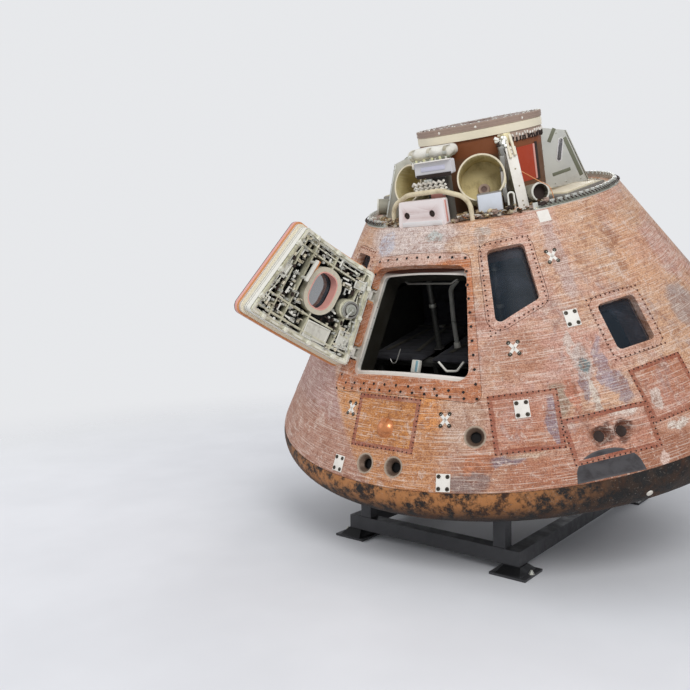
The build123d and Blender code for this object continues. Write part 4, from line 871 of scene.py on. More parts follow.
def block(wide: float, tall: float, deep: float, round_: float = 0.0, steps: int = 2) -> Shape:
    """Make a box about its centre, with rounded edges.

    Args:
        wide: Size along X.
        tall: Size along Y.
        deep: Size along Z.
        round_: Width of the rounding.
        steps: Number of faces across the rounding.

    Returns:
        The shape.
    """
    shape = bmesh.new()
    bmesh.ops.create_cube(shape, size=1.0, matrix=Matrix.Diagonal((wide, tall, deep, 1)))
    return bevelled(shape, shape.edges, round_, steps)


def disc(r: float, tall: float, sides: int = 16, top_r: float | None = None, round_: float = 0.0) -> Shape:
    """Make a round stud that stands on the plane Z = 0.

    Args:
        r: Radius at the foot.
        tall: Height.
        sides: Number of sides.
        top_r: Radius at the top, the same as the foot's if not given.
        round_: Width of the rounding of its rims.

    Returns:
        The shape.
    """
    shape = bmesh.new()
    bmesh.ops.create_cone(shape, cap_ends=True, segments=sides, radius1=r,
                          radius2=r if top_r is None else top_r, depth=tall, matrix=shift(0, 0, tall / 2))
    rims = [edge for edge in shape.edges if abs(edge.verts[0].co.z - edge.verts[1].co.z) < 1e-6]
    return bevelled(shape, rims, round_, 2)


def lathe(profile: Sequence[Point], sides: int = 24) -> Shape:
    """Turn an open profile of (radius, height) pairs round Z; its ends close on the axis or on each other.

    Args:
        profile: The points of the profile.
        sides: Number of sides.

    Returns:
        The shape, with its faces outwards.
    """
    shape = bmesh.new()
    corners = [shape.verts.new((r, 0, z)) for r, z in profile]
    edges = [shape.edges.new(pair) for pair in zip(corners, corners[1:])]
    bmesh.ops.spin(shape, geom=corners + edges, cent=(0, 0, 0), axis=(0, 0, 1), angle=2 * pi, steps=sides,
                   use_merge=True)
    bmesh.ops.remove_doubles(shape, verts=shape.verts[:], dist=1e-6)
    return outwards(shape)


def pipe(points: Sequence[Vector], r: float, sides: int = 8) -> Shape:
    """Run a round pipe along a line of points.

    Args:
        points: The points, in order.
        r: The pipe's radius.
        sides: Number of sides.

    Returns:
        The shape, closed at both ends.
    """
    shape = bmesh.new()
    rings = []
    side = Vector((0, 0, 1)).orthogonal()
    for point, way in directed(points):
        side = side - way * side.dot(way)
        side = (side if side.length > 1e-4 else way.orthogonal()).normalized()
        spot = placement(side, way.cross(side), way, point)
        made = bmesh.ops.create_circle(shape, cap_ends=False, segments=sides, radius=r, matrix=spot)
        rings.append(made["verts"])
    for low, high in zip(rings, rings[1:]):
        edges = {edge for ring in (low, high) for vert in ring for edge in vert.link_edges
                 if edge.other_vert(vert) in ring}
        bmesh.ops.bridge_loops(shape, edges=list(edges))
    for ring in (rings[0], rings[-1]):
        bmesh.ops.contextual_create(shape, geom=ring)
    return outwards(shape)


def skinned(sections: Sequence[Sequence[Vector]], around: bool = False) -> Shape:
    """Join closed sections with the same number of corners into one skin.

    Args:
        sections: The corners of each section, in order.
        around: Whether the last section joins the first; if not, both ends are closed.

    Returns:
        The shape, with its faces outwards.
    """
    shape = bmesh.new()
    rings = []
    for section in sections:
        corners = [shape.verts.new(corner) for corner in section]
        rings.append([shape.edges.new((corners[index - 1], corners[index])) for index in range(len(corners))])
    for low, high in list(zip(rings, rings[1:])) + ([(rings[-1], rings[0])] if around else []):
        bmesh.ops.bridge_loops(shape, edges=low + high)
    if not around:
        for ring in (rings[0], rings[-1]):
            bmesh.ops.contextual_create(shape, geom=ring)
    return outwards(shape)


def rounded(corners: Sequence[Sequence[float]], r: float, closed: bool = True, steps: int = 5,
            longest: float = 1.0) -> list[Vector]:
    """Round the corners of a line with arcs and divide its long straight parts.

    Args:
        corners: The corners, in the plane or in space.
        r: Radius of the arcs.
        closed: Whether the line runs back to its start.
        steps: Number of pieces in an arc.
        longest: Greatest distance between two points.

    Returns:
        The points of the line.
    """
    points = [Vector(corner) for corner in corners]
    line: list[Vector] = [] if closed else [points[0]]
    for index in range(0 if closed else 1, len(points) if closed else len(points) - 1):
        before, corner, after = points[index - 1], points[index], points[(index + 1) % len(points)]
        into, out = (before - corner).normalized(), (after - corner).normalized()
        half = into.angle(out) / 2
        reach = min(r / tan(half), (before - corner).length / 2, (after - corner).length / 2)
        centre = corner + (into + out).normalized() * reach / cos(half)
        first, last = corner + into * reach - centre, corner + out * reach - centre
        line += [centre + first.lerp(last, step / steps).normalized() * first.length
                 for step in range(steps + 1)]
    if not closed:
        line.append(points[-1])
    fine = []
    for start, end in zip(line, line[1:] + (line[:1] if closed else [])):
        count = max(1, ceil((end - start).length / longest))
        fine += [start.lerp(end, step / count) for step in range(count)]
    return fine if closed else [*fine, line[-1]]


def bent_plate(offset: float, z: float, r: float, wide: float, tall: float, thick: float,
               slope: float = 0.0) -> Shape:
    """Bend a plate round the capsule's axis, so that it lies on a round wall.

    Args:
        offset: Offset of its middle in degrees.
        z: Height of its middle in the upright capsule.
        r: Radius of its inner face at its middle.
        wide: Width along the wall.
        tall: Height.
        thick: Thickness outwards.
        slope: Growth of its radius for each unit of height.

    Returns:
        The shape in the model's frame.
    """
    steps = max(2, ceil(wide / 0.04))
    sections = []
    for step in range(steps + 1):
        turn = offset + degrees((step / steps - 0.5) * wide / r)
        corners = ((0, -tall / 2), (thick, -tall / 2), (thick, tall / 2), (0, tall / 2))
        sections.append([CAPSULE.at(turn, r + out + up * slope, z + up) for out, up in corners])
    return skinned(sections)


def crumpled(size: float, seed: float, detail: int = 3) -> Shape:
    """A crumpled clump of foil, flatter than it is wide."""
    shape = bmesh.new()
    bmesh.ops.create_icosphere(shape, subdivisions=detail, radius=size)
    for vert in shape.verts:
        bend = noise.noise(vert.co / size * 1.6 + Vector((seed, 0, 0)))
        crease = abs(noise.noise(vert.co / size * 4.0 + Vector((0, seed, 0))))
        vert.co *= 1 + 0.7 * bend - 0.5 * crease
        vert.co.z *= 0.55
    return shape


def curve_points(control: Sequence[Sequence[float]], steps: int = 8) -> list[Vector]:
    """Smooth a few points into a flowing line through them.

    Args:
        control: The points that the line passes.
        steps: Number of pieces between two of them.

    Returns:
        The points of the line.
    """
    points = [Vector(point) for point in control]
    ends = [2 * points[0] - points[1], *points, 2 * points[-1] - points[-2]]
    line = []
    for index in range(1, len(ends) - 2):
        before, start, end, after = ends[index - 1:index + 3]
        for step in range(steps):
            t = step / steps
            line.append(0.5 * (2 * start + (end - before) * t
                               + (2 * before - 5 * start + 4 * end - after) * t ** 2
                               + (3 * start - before - 3 * end + after) * t ** 3))
    return [*line, points[-1]]


@dataclass(frozen=True)
class Outline:
    """A closed outline on a plane that touches the skin at one place."""

    offset: float
    z: float
    corners: tuple[Point, ...]

    @classmethod
    def box(cls, offset: float, z: float, wide: float, tall: float) -> "Outline":
        """A rectangle about the plane's own point."""
        x, y = wide / 2, tall / 2
        return cls(offset, z, ((-x, -y), (x, -y), (x, y), (-x, y)))

    @classmethod
    def trapeze(cls, low_z: float, high_z: float, low_angle: float, high_angle: float) -> "Outline":
        """The outline between two heights, centred on the hatch's line, at an offset either side of it."""
        middle = CAPSULE.hatch_z
        corners = []
        for z, angle, side in ((low_z, low_angle, -1), (low_z, low_angle, 1), (high_z, high_angle, 1),
                               (high_z, high_angle, -1)):
            x = side * CAPSULE.skin_r(z) * sin(radians(angle))
            corners.append((x, (z - middle) / cos(CAPSULE.half_angle)))
        return cls(0, middle, tuple(corners))

    def grown(self, by: float) -> tuple[Point, ...]:
        """The corners with every side moved outwards by the same distance."""
        count = len(self.corners)
        sides = []
        for index, (x, y) in enumerate(self.corners):
            next_x, next_y = self.corners[(index + 1) % count]
            run = hypot(next_x - x, next_y - y)
            normal = ((next_y - y) / run, -(next_x - x) / run)
            sides.append((normal, normal[0] * x + normal[1] * y + by))
        moved = []
        for index in range(count):
            (a, c), (b, d) = sides[index - 1], sides[index]
            cross = a[0] * b[1] - a[1] * b[0]
            moved.append(((c * b[1] - d * a[1]) / cross, (a[0] * d - b[0] * c) / cross))
        return tuple(moved)

    def along(self, by: float, pitch: float, lift: float, sides: Sequence[int] | None = None,
              ahead: float = 0.0) -> list[Matrix]:
        """Give evenly spaced placements beside the outline.

        Args:
            by: Distance outwards from the outline.
            pitch: Wanted distance between two placements.
            lift: Distance outwards from the skin.
            sides: Which sides to follow, all if not given.
            ahead: Share of a pitch by which they move along.

        Returns:
            The placements on the skin.
        """
        corners = self.grown(by)
        count = len(corners)
        places = []
        for side in sides if sides is not None else range(count):
            x, y = corners[side]
            next_x, next_y = corners[(side + 1) % count]
            number = max(1, round(hypot(next_x - x, next_y - y) / pitch))
            for step in range(number):
                t = (step + ahead) / number
                spot = (x + (next_x - x) * t, y + (next_y - y) * t)
                places.append(CAPSULE.on_skin(self.offset, self.z, *spot, lift))
        return places


@dataclass(frozen=True)
class Fasteners:
    """The dark bolt holes round panels, windows and hatch, and the bands that they sit in."""

    hole_r: float = 0.0062
    wide_hole_r: float = 0.0125
    pitch: float = 0.034
    wide_pitch: float = 0.092
    band: float = 0.03
    lift: float = 0.0007
    sheet: float = 0.0016
    panels: tuple[tuple[float, float, float, float], ...] = (
        (-1.6, 0.98, 0.48, 0.33), (30.1, 0.979, 0.398, 0.34), (61.5, 0.99, 0.384, 0.33),
        (-61.5, 0.99, 0.384, 0.33), (118.0, 0.979, 0.398, 0.34), (-118.0, 0.979, 0.398, 0.34),
        (46.0, 0.85, 0.524, 0.258), (-134.0, 0.85, 0.524, 0.258),
    )
    side_windows: tuple[float, ...] = (59.6, -59.6)
    rendezvous: tuple[Point, ...] = ((-0.128, 0.231), (0.112, 0.244), (0.151, -0.147), (-0.148, -0.285))

    def hole(self, maker: Maker, r: float) -> Shape:
        """A plug hole: a thin ring with a dark, sunk middle."""
        shape = disc(r, self.sheet, 12)
        top = topmost(shape)
        bmesh.ops.inset_region(shape, faces=[top], thickness=r * 0.22, depth=-self.sheet * 0.7)
        maker.paint([top], Finish.HOLE)
        return shape

    def band_round(self, maker: Maker, outline: Outline) -> None:
        """Lay a thin band on the skin along an outline, half of it on each side."""
        wide = outline.corners[1][0] - outline.corners[0][0] + self.band
        tall = outline.corners[2][1] - outline.corners[1][1] + self.band
        shape = bmesh.new()
        across, up = round(wide / self.band), round(tall / self.band)
        bmesh.ops.create_grid(shape, x_segments=across, y_segments=up, size=0.5,
                              matrix=Matrix.Diagonal((wide, tall, 1, 1)))
        inner = [face for face in shape.faces
                 if abs(face.calc_center_median().x) < wide / 2 - wide / across
                 and abs(face.calc_center_median().y) < tall / 2 - tall / up]
        bmesh.ops.delete(shape, geom=inner, context="FACES")
        maker.add(laid(shape, outline.offset, outline.z, -self.sheet, self.lift), Finish.BAND)

    def build(self) -> None:
        """Make the bands and the holes, each kind as one piece."""
        bands, holes = Maker("panel_bands"), Maker("bolt_holes")
        outlines = [Outline.box(*panel) for panel in self.panels]
        small: list[Matrix] = []
        for outline in outlines:
            self.band_round(bands, outline)
            small += outline.along(0.008, self.pitch, self.lift)
        for side in (1, -1):
            corners = tuple((side * x, y) for x, y in self.rendezvous)
            window = Outline(side * 32.4, 1.75, corners[::-side])
            small += window.along(0.04, self.pitch, self.lift)
        for offset in self.side_windows:
            small += Outline.box(offset, 1.385, 0.29, 0.318).along(0.05, self.pitch, self.lift)
        holes.add(self.hole(holes, self.hole_r), Finish.BAND, small)
        surround = Outline.trapeze(1.14, 1.965, 22.0, 20.3)
        wide = surround.along(-0.03, self.wide_pitch, self.lift, (1, 2, 3))
        wide += surround.along(-0.022, self.wide_pitch, self.lift, (0,))
        wide += surround.along(-0.062, self.wide_pitch, self.lift, (0,), 0.5)
        holes.add(self.hole(holes, self.wide_hole_r), Finish.SURROUND, wide)
        bands.finish("panel_skin")
        holes.finish("panel_skin")


@dataclass(frozen=True)
class SkinMarks:
    """Ring bolts and crosses on the pads, the half-round patch at the seam, a dot, a light patch, and dark
    discs deep in the thruster throats as painted shade.
    """

    plates: tuple[Point, ...] = ((45.8, 1.478), (29.7, 1.046), (13.4, 0.683), (-11.9, 0.698))
    crosses: tuple[Point, ...] = ((46.3, 1.842), (29.9, 1.372), (13.3, 1.013), (-12.4, 1.024))
    bolt_x: float = 0.029
    bolt_y: float = 0.038
    plate_tall: float = 0.008
    patch: tuple[float, float, float, float] = (43.5, 0.64, 0.212, 0.14)
    dot: Spot = (50.0, 0.47, 0.022)
    rim_centre: Point = (1.7602, 0.5543)
    thrusters: Point = (46.0, -134.0)
    thruster_z: float = 0.85
    throat_depth: float = 0.0425

    def ring_bolt(self, maker: Maker) -> Shape:
        """A bolt with a pale ring and a dark socket."""
        shape = lathe(((0.0, 0.0022), (0.0045, 0.0022), (0.0062, 0.0046), (0.0088, 0.0046), (0.01, 0.0034),
                       (0.0128, 0.003), (0.0136, 0.0), (0.0, 0.0)), 16)
        maker.paint([face for face in shape.faces
                     if not 0.0055 <= face.calc_center_median().xy.length <= 0.0105], Finish.HOLE)
        return shape

    def half_round(self) -> Shape:
        """A thin patch on the skin whose upper edge is an arch."""
        offset, low_z, half, tall = self.patch
        shape = bmesh.new()
        bmesh.ops.create_grid(shape, x_segments=28, y_segments=10, size=0.5)
        for vert in shape.verts:
            across = vert.co.x * 2
            arch = max(0.0, 1 - abs(across) ** 2.4) ** 0.5
            vert.co = Vector((across * half, (vert.co.y + 0.5) * tall * arch / cos(CAPSULE.half_angle), 0))
        bmesh.ops.remove_doubles(shape, verts=shape.verts[:], dist=1e-5)
        return laid(shape, offset, low_z, -0.001, 0.0006)

    def build(self) -> None:
        """Make the marks as one piece and the ring bolts as another."""
        bolts, marks = Maker("pad_bolts"), Maker("skin_marks")
        places = []
        for pads, lift in ((self.plates, self.plate_tall - 0.0012), (self.crosses, -0.0004)):
            for offset, z in pads:
                places += [CAPSULE.on_skin(offset, z, x * self.bolt_x, y * self.bolt_y, lift)
                           for x, y in ((-1, -1), (1, -1), (1, 1), (-1, 1))]
        bolts.add(self.ring_bolt(bolts), Finish.RING, places)
        for offset, z in self.crosses:
            for lean in (52, -52):
                arm = CAPSULE.skin(offset, z) @ spin(lean)
                marks.add(block(0.094, 0.02, 0.0036, 0.001), Finish.WHITE, [arm])
        plates = [CAPSULE.skin(offset, z, self.plate_tall / 2 - 0.001) for offset, z in self.plates]
        marks.add(block(0.092, 0.112, self.plate_tall, 0.002), Finish.WHITE, plates)
        marks.add(self.half_round(), Finish.PATCH)
        marks.add(block(0.082, 0.082, 0.003, 0.001), Finish.WHITE, [CAPSULE.skin(48.5, 2.082, 0.0004)])
        # Dark discs deep in the roll thrusters' throats: painted shade inside them.
        throats = [CAPSULE.skin(offset + side * 2.2, self.thruster_z, -self.throat_depth)
                   @ shift(side * 0.00726, 0, 0) for offset in self.thrusters for side in (-1, 1)]
        marks.add(disc(0.036, 0.003, 28), Finish.HOLE, throats)
        bolts.finish("bare_metal")
        marks.finish("white_plate", "bolt_plates")
        dot = Maker("seam_dot")
        offset, z, r = self.dot
        rise = asin((z - self.rim_centre[1]) / CAPSULE.corner_r)
        spot = CAPSULE.facing(offset, self.rim_centre[0] + CAPSULE.corner_r * cos(rise), z, degrees(rise))
        dot.add(disc(r, 0.006, 20, r * 0.9, 0.001), Finish.WHITE, [spot @ shift(0, 0, -0.002)])
        dot.finish("white_plate")


@dataclass(frozen=True)
class HatchEdge:
    """Thin bands of seal, resin and metal that show along the hatch's thick edge."""

    low_z: float = 1.246
    high_z: float = 1.895
    angle: float = 19.0
    corner_r: float = 0.075
    hinge_free: float = -0.46
    bands: tuple[tuple[float, float, float, float, Finish], ...] = (
        (0.016, 0.002, 0.01, 0.002, Finish.PATCH), (0.016, 0.0105, 0.04, 0.002, Finish.ROSE),
        (0.0158, 0.0405, 0.0425, 0.0142, Finish.ORANGE),
        (0.03, 0.043, 0.055, 0.002, Finish.SILL), (0.03, 0.0555, 0.058, 0.002, Finish.HOLE),
        (0.03, 0.0585, 0.0685, 0.002, Finish.SILL), (0.03, 0.069, 0.0715, 0.02, Finish.COLLAR),
        (0.05, 0.072, 0.088, 0.002, Finish.SILL), (0.05, 0.0885, 0.091, 0.002, Finish.HOLE),
        (0.05, 0.0915, 0.112, 0.002, Finish.SILL), (0.05, 0.1125, 0.115, 0.002, Finish.HOLE),
        (0.05, 0.1155, 0.163, 0.002, Finish.SILL),
    )

    @property
    def outline(self) -> Outline:
        """The opening's outline on the hatch's plane."""
        return Outline.trapeze(self.low_z, self.high_z, self.angle, self.angle)

    def band(self, inset: float, low: float, high: float, wide: float = 0.002,
             place: Callable[[float, float, float], Matrix] = CAPSULE.hatch) -> Shape:
        """A band round the free sides of the hatch or of its opening.

        Args:
            inset: Distance of the side wall inside the opening's outline.
            low: Its lesser depth under the skin.
            high: Its greater depth.
            wide: How far it reaches inwards from there.
            place: Gives its placement.

        Returns:
            The shape.
        """
        outline = self.outline
        outer = rounded(outline.grown(0.0012 - inset), self.corner_r - inset, longest=0.05)
        inner = rounded(outline.grown(-inset - wide), max(0.01, self.corner_r - inset - wide), longest=0.01)
        first = min(range(len(outer)), key=lambda index: outer[index].x)
        sections = []
        for point in (spot for spot in outer[first:] + outer[:first] if spot.x > self.hinge_free):
            near = min(inner, key=lambda other: (other - point).length)
            corners = ((point, low), (point, high), (near, high), (near, low))
            sections.append([place(spot.x, spot.y, depth).translation for spot, depth in corners])
        return skinned(sections)

    def build(self) -> None:
        """Make every band as part of one piece."""
        maker = Maker("hatch_edge_bands")
        for inset, low, high, wide, finish in self.bands:
            maker.add(self.band(inset, low, high, wide), finish)
        maker.finish("hatch_metal", body=HATCH_BODY)


@dataclass(frozen=True)
class HatchInside:
    """The crowded inner face of the hatch: brackets, levers, springs, tie rods and smooth covers."""

    back: float = 0.165
    floor: float = 0.07
    half_low: float = 0.44
    half_high: float = 0.318
    reach: float = 0.325
    pitch: float = 0.029
    seed: int = 11
    window: Point = (-0.02, 0.034)
    gearbox: Point = (-0.272, 0.02)
    keep_clear: tuple[tuple[float, float, float, float], ...] = (
        (*window, 0.15, 0.182), (*gearbox, 0.078, 0.078), (0.17, 0.1, 0.032, 0.09),
        (-0.13, -0.235, 0.125, 0.08), (0.108, 0.125, 0.03, 0.085),
    )

    def inward(self, x: float, y: float, depth: float, turn: float = 0.0) -> Matrix:
        """A placement on the open hatch whose Z points into the cabin when it is shut."""
        return CAPSULE.hatch(x, y, depth) @ spin(180, "X") @ spin(turn)

    def free(self, x: float, y: float, room: float) -> bool:
        """Whether a place is on the inner face and beside the pieces that are modelled there."""
        side = self.half_low + (self.half_high - self.half_low) * (y + self.reach) / (2 * self.reach)
        if abs(x) > side - room or abs(y) > self.reach - room:
            return False
        return all(((x - a) / (wide + room)) ** 2 + ((y - b) / (tall + room)) ** 2 > 1
                   for a, b, wide, tall in self.keep_clear)

    def lever(self) -> Shape:
        """A flat lever with an eye at each end."""
        corners = ((-0.026, -0.007), (0.026, -0.005), (0.026, 0.005), (-0.026, 0.007))
        outline = rounded(corners, 0.0045, steps=3)
        return skinned([[Vector((point.x, point.y, z)) for point in outline] for z in (0.0, 0.007)])

    def spring(self) -> Shape:
        """A coil spring on its rod."""
        turns = [Vector((0.0075 * cos(step * 0.9), 0.0075 * sin(step * 0.9), step * 0.00125 - 0.03))
                 for step in range(48)]
        return pipe(turns, 0.0017, 5)

    def bracket(self) -> Shape:
        """An angle bracket with a foot and a web."""
        outline = ((-0.016, 0), (0.016, 0), (0.016, 0.005), (-0.01, 0.005), (-0.01, 0.034), (-0.016, 0.034))
        return skinned([[Vector((x, y, z)) for x, z in outline] for y in (-0.011, 0.011)])

    def scatter(self, maker: Maker) -> None:
        """Fill the pockets with small parts at many depths, by a seeded draw."""
        draw = Random(self.seed)
        kinds: list[tuple[Shape, Finish, list[Matrix]]] = [
            (block(0.026, 0.015, 0.02, 0.002, 1), Finish.HATCH_RING, []),
            (block(0.034, 0.01, 0.01, 0.002, 1), Finish.METAL, []),
            (disc(0.01, 0.014, 12, 0.008), Finish.METAL, []),
            (self.lever(), Finish.SILL, []), (self.bracket(), Finish.HATCH_RING, []),
            (self.spring(), Finish.METAL, []), (disc(0.0045, 0.026, 8), Finish.ALLOY, []),
            (block(0.02, 0.018, 0.005, 0.001, 1), Finish.SILL, []),
            (block(0.024, 0.018, 0.018, 0.002, 1), Finish.HOLE, []),
            (block(0.03, 0.008, 0.022, 0.001, 1), Finish.HOLE, []),
        ]
        for row in range(ceil(2 * self.reach / self.pitch)):
            for column in range(ceil(2 * self.half_low / self.pitch)):
                x = (column + draw.uniform(-0.3, 1.3)) * self.pitch - self.half_low
                y = (row + draw.uniform(-0.3, 1.3)) * self.pitch - self.reach
                depth = draw.uniform(self.floor + 0.045, self.back + 0.002)
                turn = draw.choice((0, 0, 90, 90, 180, 270, draw.uniform(0, 360)))
                if self.free(x, y, 0.016):
                    kinds[draw.randrange(len(kinds))][2].append(self.inward(x, y, depth, turn))
        for shape, finish, places in kinds:
            maker.add(shape, finish, places)

    def rods(self, maker: Maker) -> None:
        """Tie rods that join the dogs along each side, with a clevis at every end."""
        for inset, depth, finish in ((0.086, 0.158, Finish.METAL), (0.112, 0.15, Finish.CREAM)):
            corners = HatchEdge().outline.grown(-inset)
            for index, (x, y) in enumerate(corners):
                next_x, next_y = corners[(index + 1) % 4]
                line = [CAPSULE.hatch(x + (next_x - x) * step / 12, y + (next_y - y) * step / 12,
                                      depth + 0.004 * (step % 3)).translation for step in range(1, 12)]
                maker.add(pipe(line, 0.0048, 6), finish)
                angle = degrees(atan2(next_y - y, next_x - x))
                ends = [self.inward(x + (next_x - x) * t, y + (next_y - y) * t, depth + 0.004, -angle)
                        for t in (0.1, 0.36, 0.63, 0.9)]
                maker.add(block(0.034, 0.016, 0.014, 0.003), finish, ends)
                maker.add(disc(0.006, 0.016, 10, round_=0.001), Finish.METAL, ends)

    def covers(self, maker: Maker) -> None:
        """Smooth cream covers under the window, the slot beside the handle and the gearbox's face."""
        for x, y, wide, tall in ((-0.13, -0.235, 0.2, 0.12), (-0.33, -0.19, 0.09, 0.13),
                                 (0.33, 0.02, 0.07, 0.11), (-0.268, 0.212, 0.09, 0.066)):
            cover = sunk(block(wide, tall, 0.01, 0.004), 0.01, 0.006, 0.005)
            maker.add(cover, Finish.SILL, [self.inward(x, y, self.back - 0.002)])
        slot = block(0.03, 0.15, 0.01, 0.004)
        maker.add(slot, Finish.ORANGE, [self.inward(0.108, 0.125, self.back - 0.004)])
        dome = lathe(((0.0, 0.02), (0.008, 0.019), (0.014, 0.012), (0.016, 0.004), (0.026, 0.004),
                      (0.028, 0.001), (0.034, 0.001), (0.036, -0.004), (0.0, -0.004)), 28)
        maker.add(dome, Finish.METAL, [self.inward(*self.gearbox, self.back + 0.04)])
        groove = lathe(((0.037, 0.001), (0.047, 0.001), (0.047, -0.003), (0.037, -0.003), (0.037, 0.001)), 32)
        maker.add(groove, Finish.HOLE, [self.inward(*self.gearbox, self.back + 0.027)])
        ring = lathe(((0.048, 0.004), (0.06, 0.004), (0.061, -0.003), (0.047, -0.003), (0.048, 0.004)), 32)
        maker.add(ring, Finish.ALLOY, [self.inward(*self.gearbox, self.back + 0.026)])
        crank = self.inward(*self.gearbox, self.back + 0.05, 62)
        maker.add(block(0.078, 0.014, 0.008, 0.003), Finish.METAL, [crank @ shift(0.032, 0, 0)])
        maker.add(disc(0.008, 0.016, 12, round_=0.002), Finish.SILL, [crank @ shift(0.066, 0, 0)])

    def ring(self, maker: Maker) -> None:
        """Screws round the window's ring and a rose liner along the glass."""
        liner = []
        x, y = self.window
        for step in range(48):
            turn = 2 * pi * step / 48
            across, up = squared(cos(turn), 0.75), squared(sin(turn), 0.75)
            spots = ((0.101, 0.132, 0.1), (0.101, 0.132, self.back + 0.012),
                     (0.094, 0.125, self.back + 0.012), (0.096, 0.127, 0.1))
            liner.append([CAPSULE.hatch(x + wide * across, y + tall * up, depth).translation
                          for wide, tall, depth in spots])
        maker.add(skinned(liner, around=True), Finish.ROSE)
        for step in range(18):
            turn = 2 * pi * step / 18
            spot = self.inward(x + 0.117 * cos(turn), y + 0.148 * sin(turn), self.back + 0.01)
            maker.add(disc(0.0048, 0.003, 10, 0.0036), Finish.METAL, [spot])

    def build(self) -> None:
        """Make the mechanism as one piece on the hatch."""
        maker = Maker("hatch_mechanism")
        for step in (self.scatter, self.rods, self.covers, self.ring):
            step(maker)
        maker.finish("hatch_metal", body=HATCH_BODY)


@dataclass(frozen=True)
class HingeSide:
    """Strips and fittings on the opening's hinge side, bolts and seals in its reveal."""

    low: Point = (-0.5027, -0.387)
    high: Point = (-0.3655, 0.387)
    arms: tuple[float, float] = (-0.218, 0.205)
    arm_room: float = 0.045

    def wall(self, y: float) -> float:
        """Where the opening's hinge side is at a height on the hatch's plane."""
        share = (y - self.low[1]) / (self.high[1] - self.low[1])
        return self.low[0] + (self.high[0] - self.low[0]) * share

    def clear(self, y: float) -> bool:
        """Whether a height on the hinge side is free of both arms."""
        return all(abs(y - arm) > self.arm_room for arm in self.arms)

    def build(self) -> None:
        """Make the strips and bolts on the walls beside the hinge, and the sill's white lip."""
        maker = Maker("hinge_side_fittings")
        maker.add(HatchEdge().band(0.026, 0.078, 0.083, 0.017, CAPSULE.shut), Finish.WHITE)
        for inset, low, high, finish in ((0.0, 0.003, 0.064, Finish.ORANGE),
                                         (0.03, 0.074, 0.15, Finish.SILL)):
            for start, stop in ((self.arms[0] + self.arm_room, self.arms[1] - self.arm_room),
                                (self.arms[1] + self.arm_room, 0.3)):
                line = []
                for step in range(9):
                    y = start + (stop - start) * step / 8
                    section = ((-0.001, low), (0.004, low), (0.004, high), (-0.001, high))
                    line.append([CAPSULE.shut(self.wall(y) + inset + out, y, depth).translation
                                 for out, depth in section])
                maker.add(skinned(line), finish)
        for depth, gap, inset in ((0.018, 0.062, 0.004), (0.052, 0.062, 0.004), (0.096, 0.08, 0.034)):
            spots = [-0.27 + step * gap for step in range(int(0.54 / gap) + 1)]
            heads = [CAPSULE.shut(self.wall(y) + inset, y, depth) @ spin(90, "Y")
                     for y in spots if self.clear(y)]
            maker.add(disc(0.006, 0.003, 10, 0.0045), Finish.HOLE, heads)
        maker.finish("bare_metal")


@dataclass(frozen=True)
class BayItem:
    """A small block or plate in the forward bay, by its place, its sizes, its tilt and its finish."""

    offset: float
    r: float
    z: float
    wide: float
    tall: float
    deep: float
    finish: "Finish"
    roll: float = 0.0
    tilt: float = 0.0


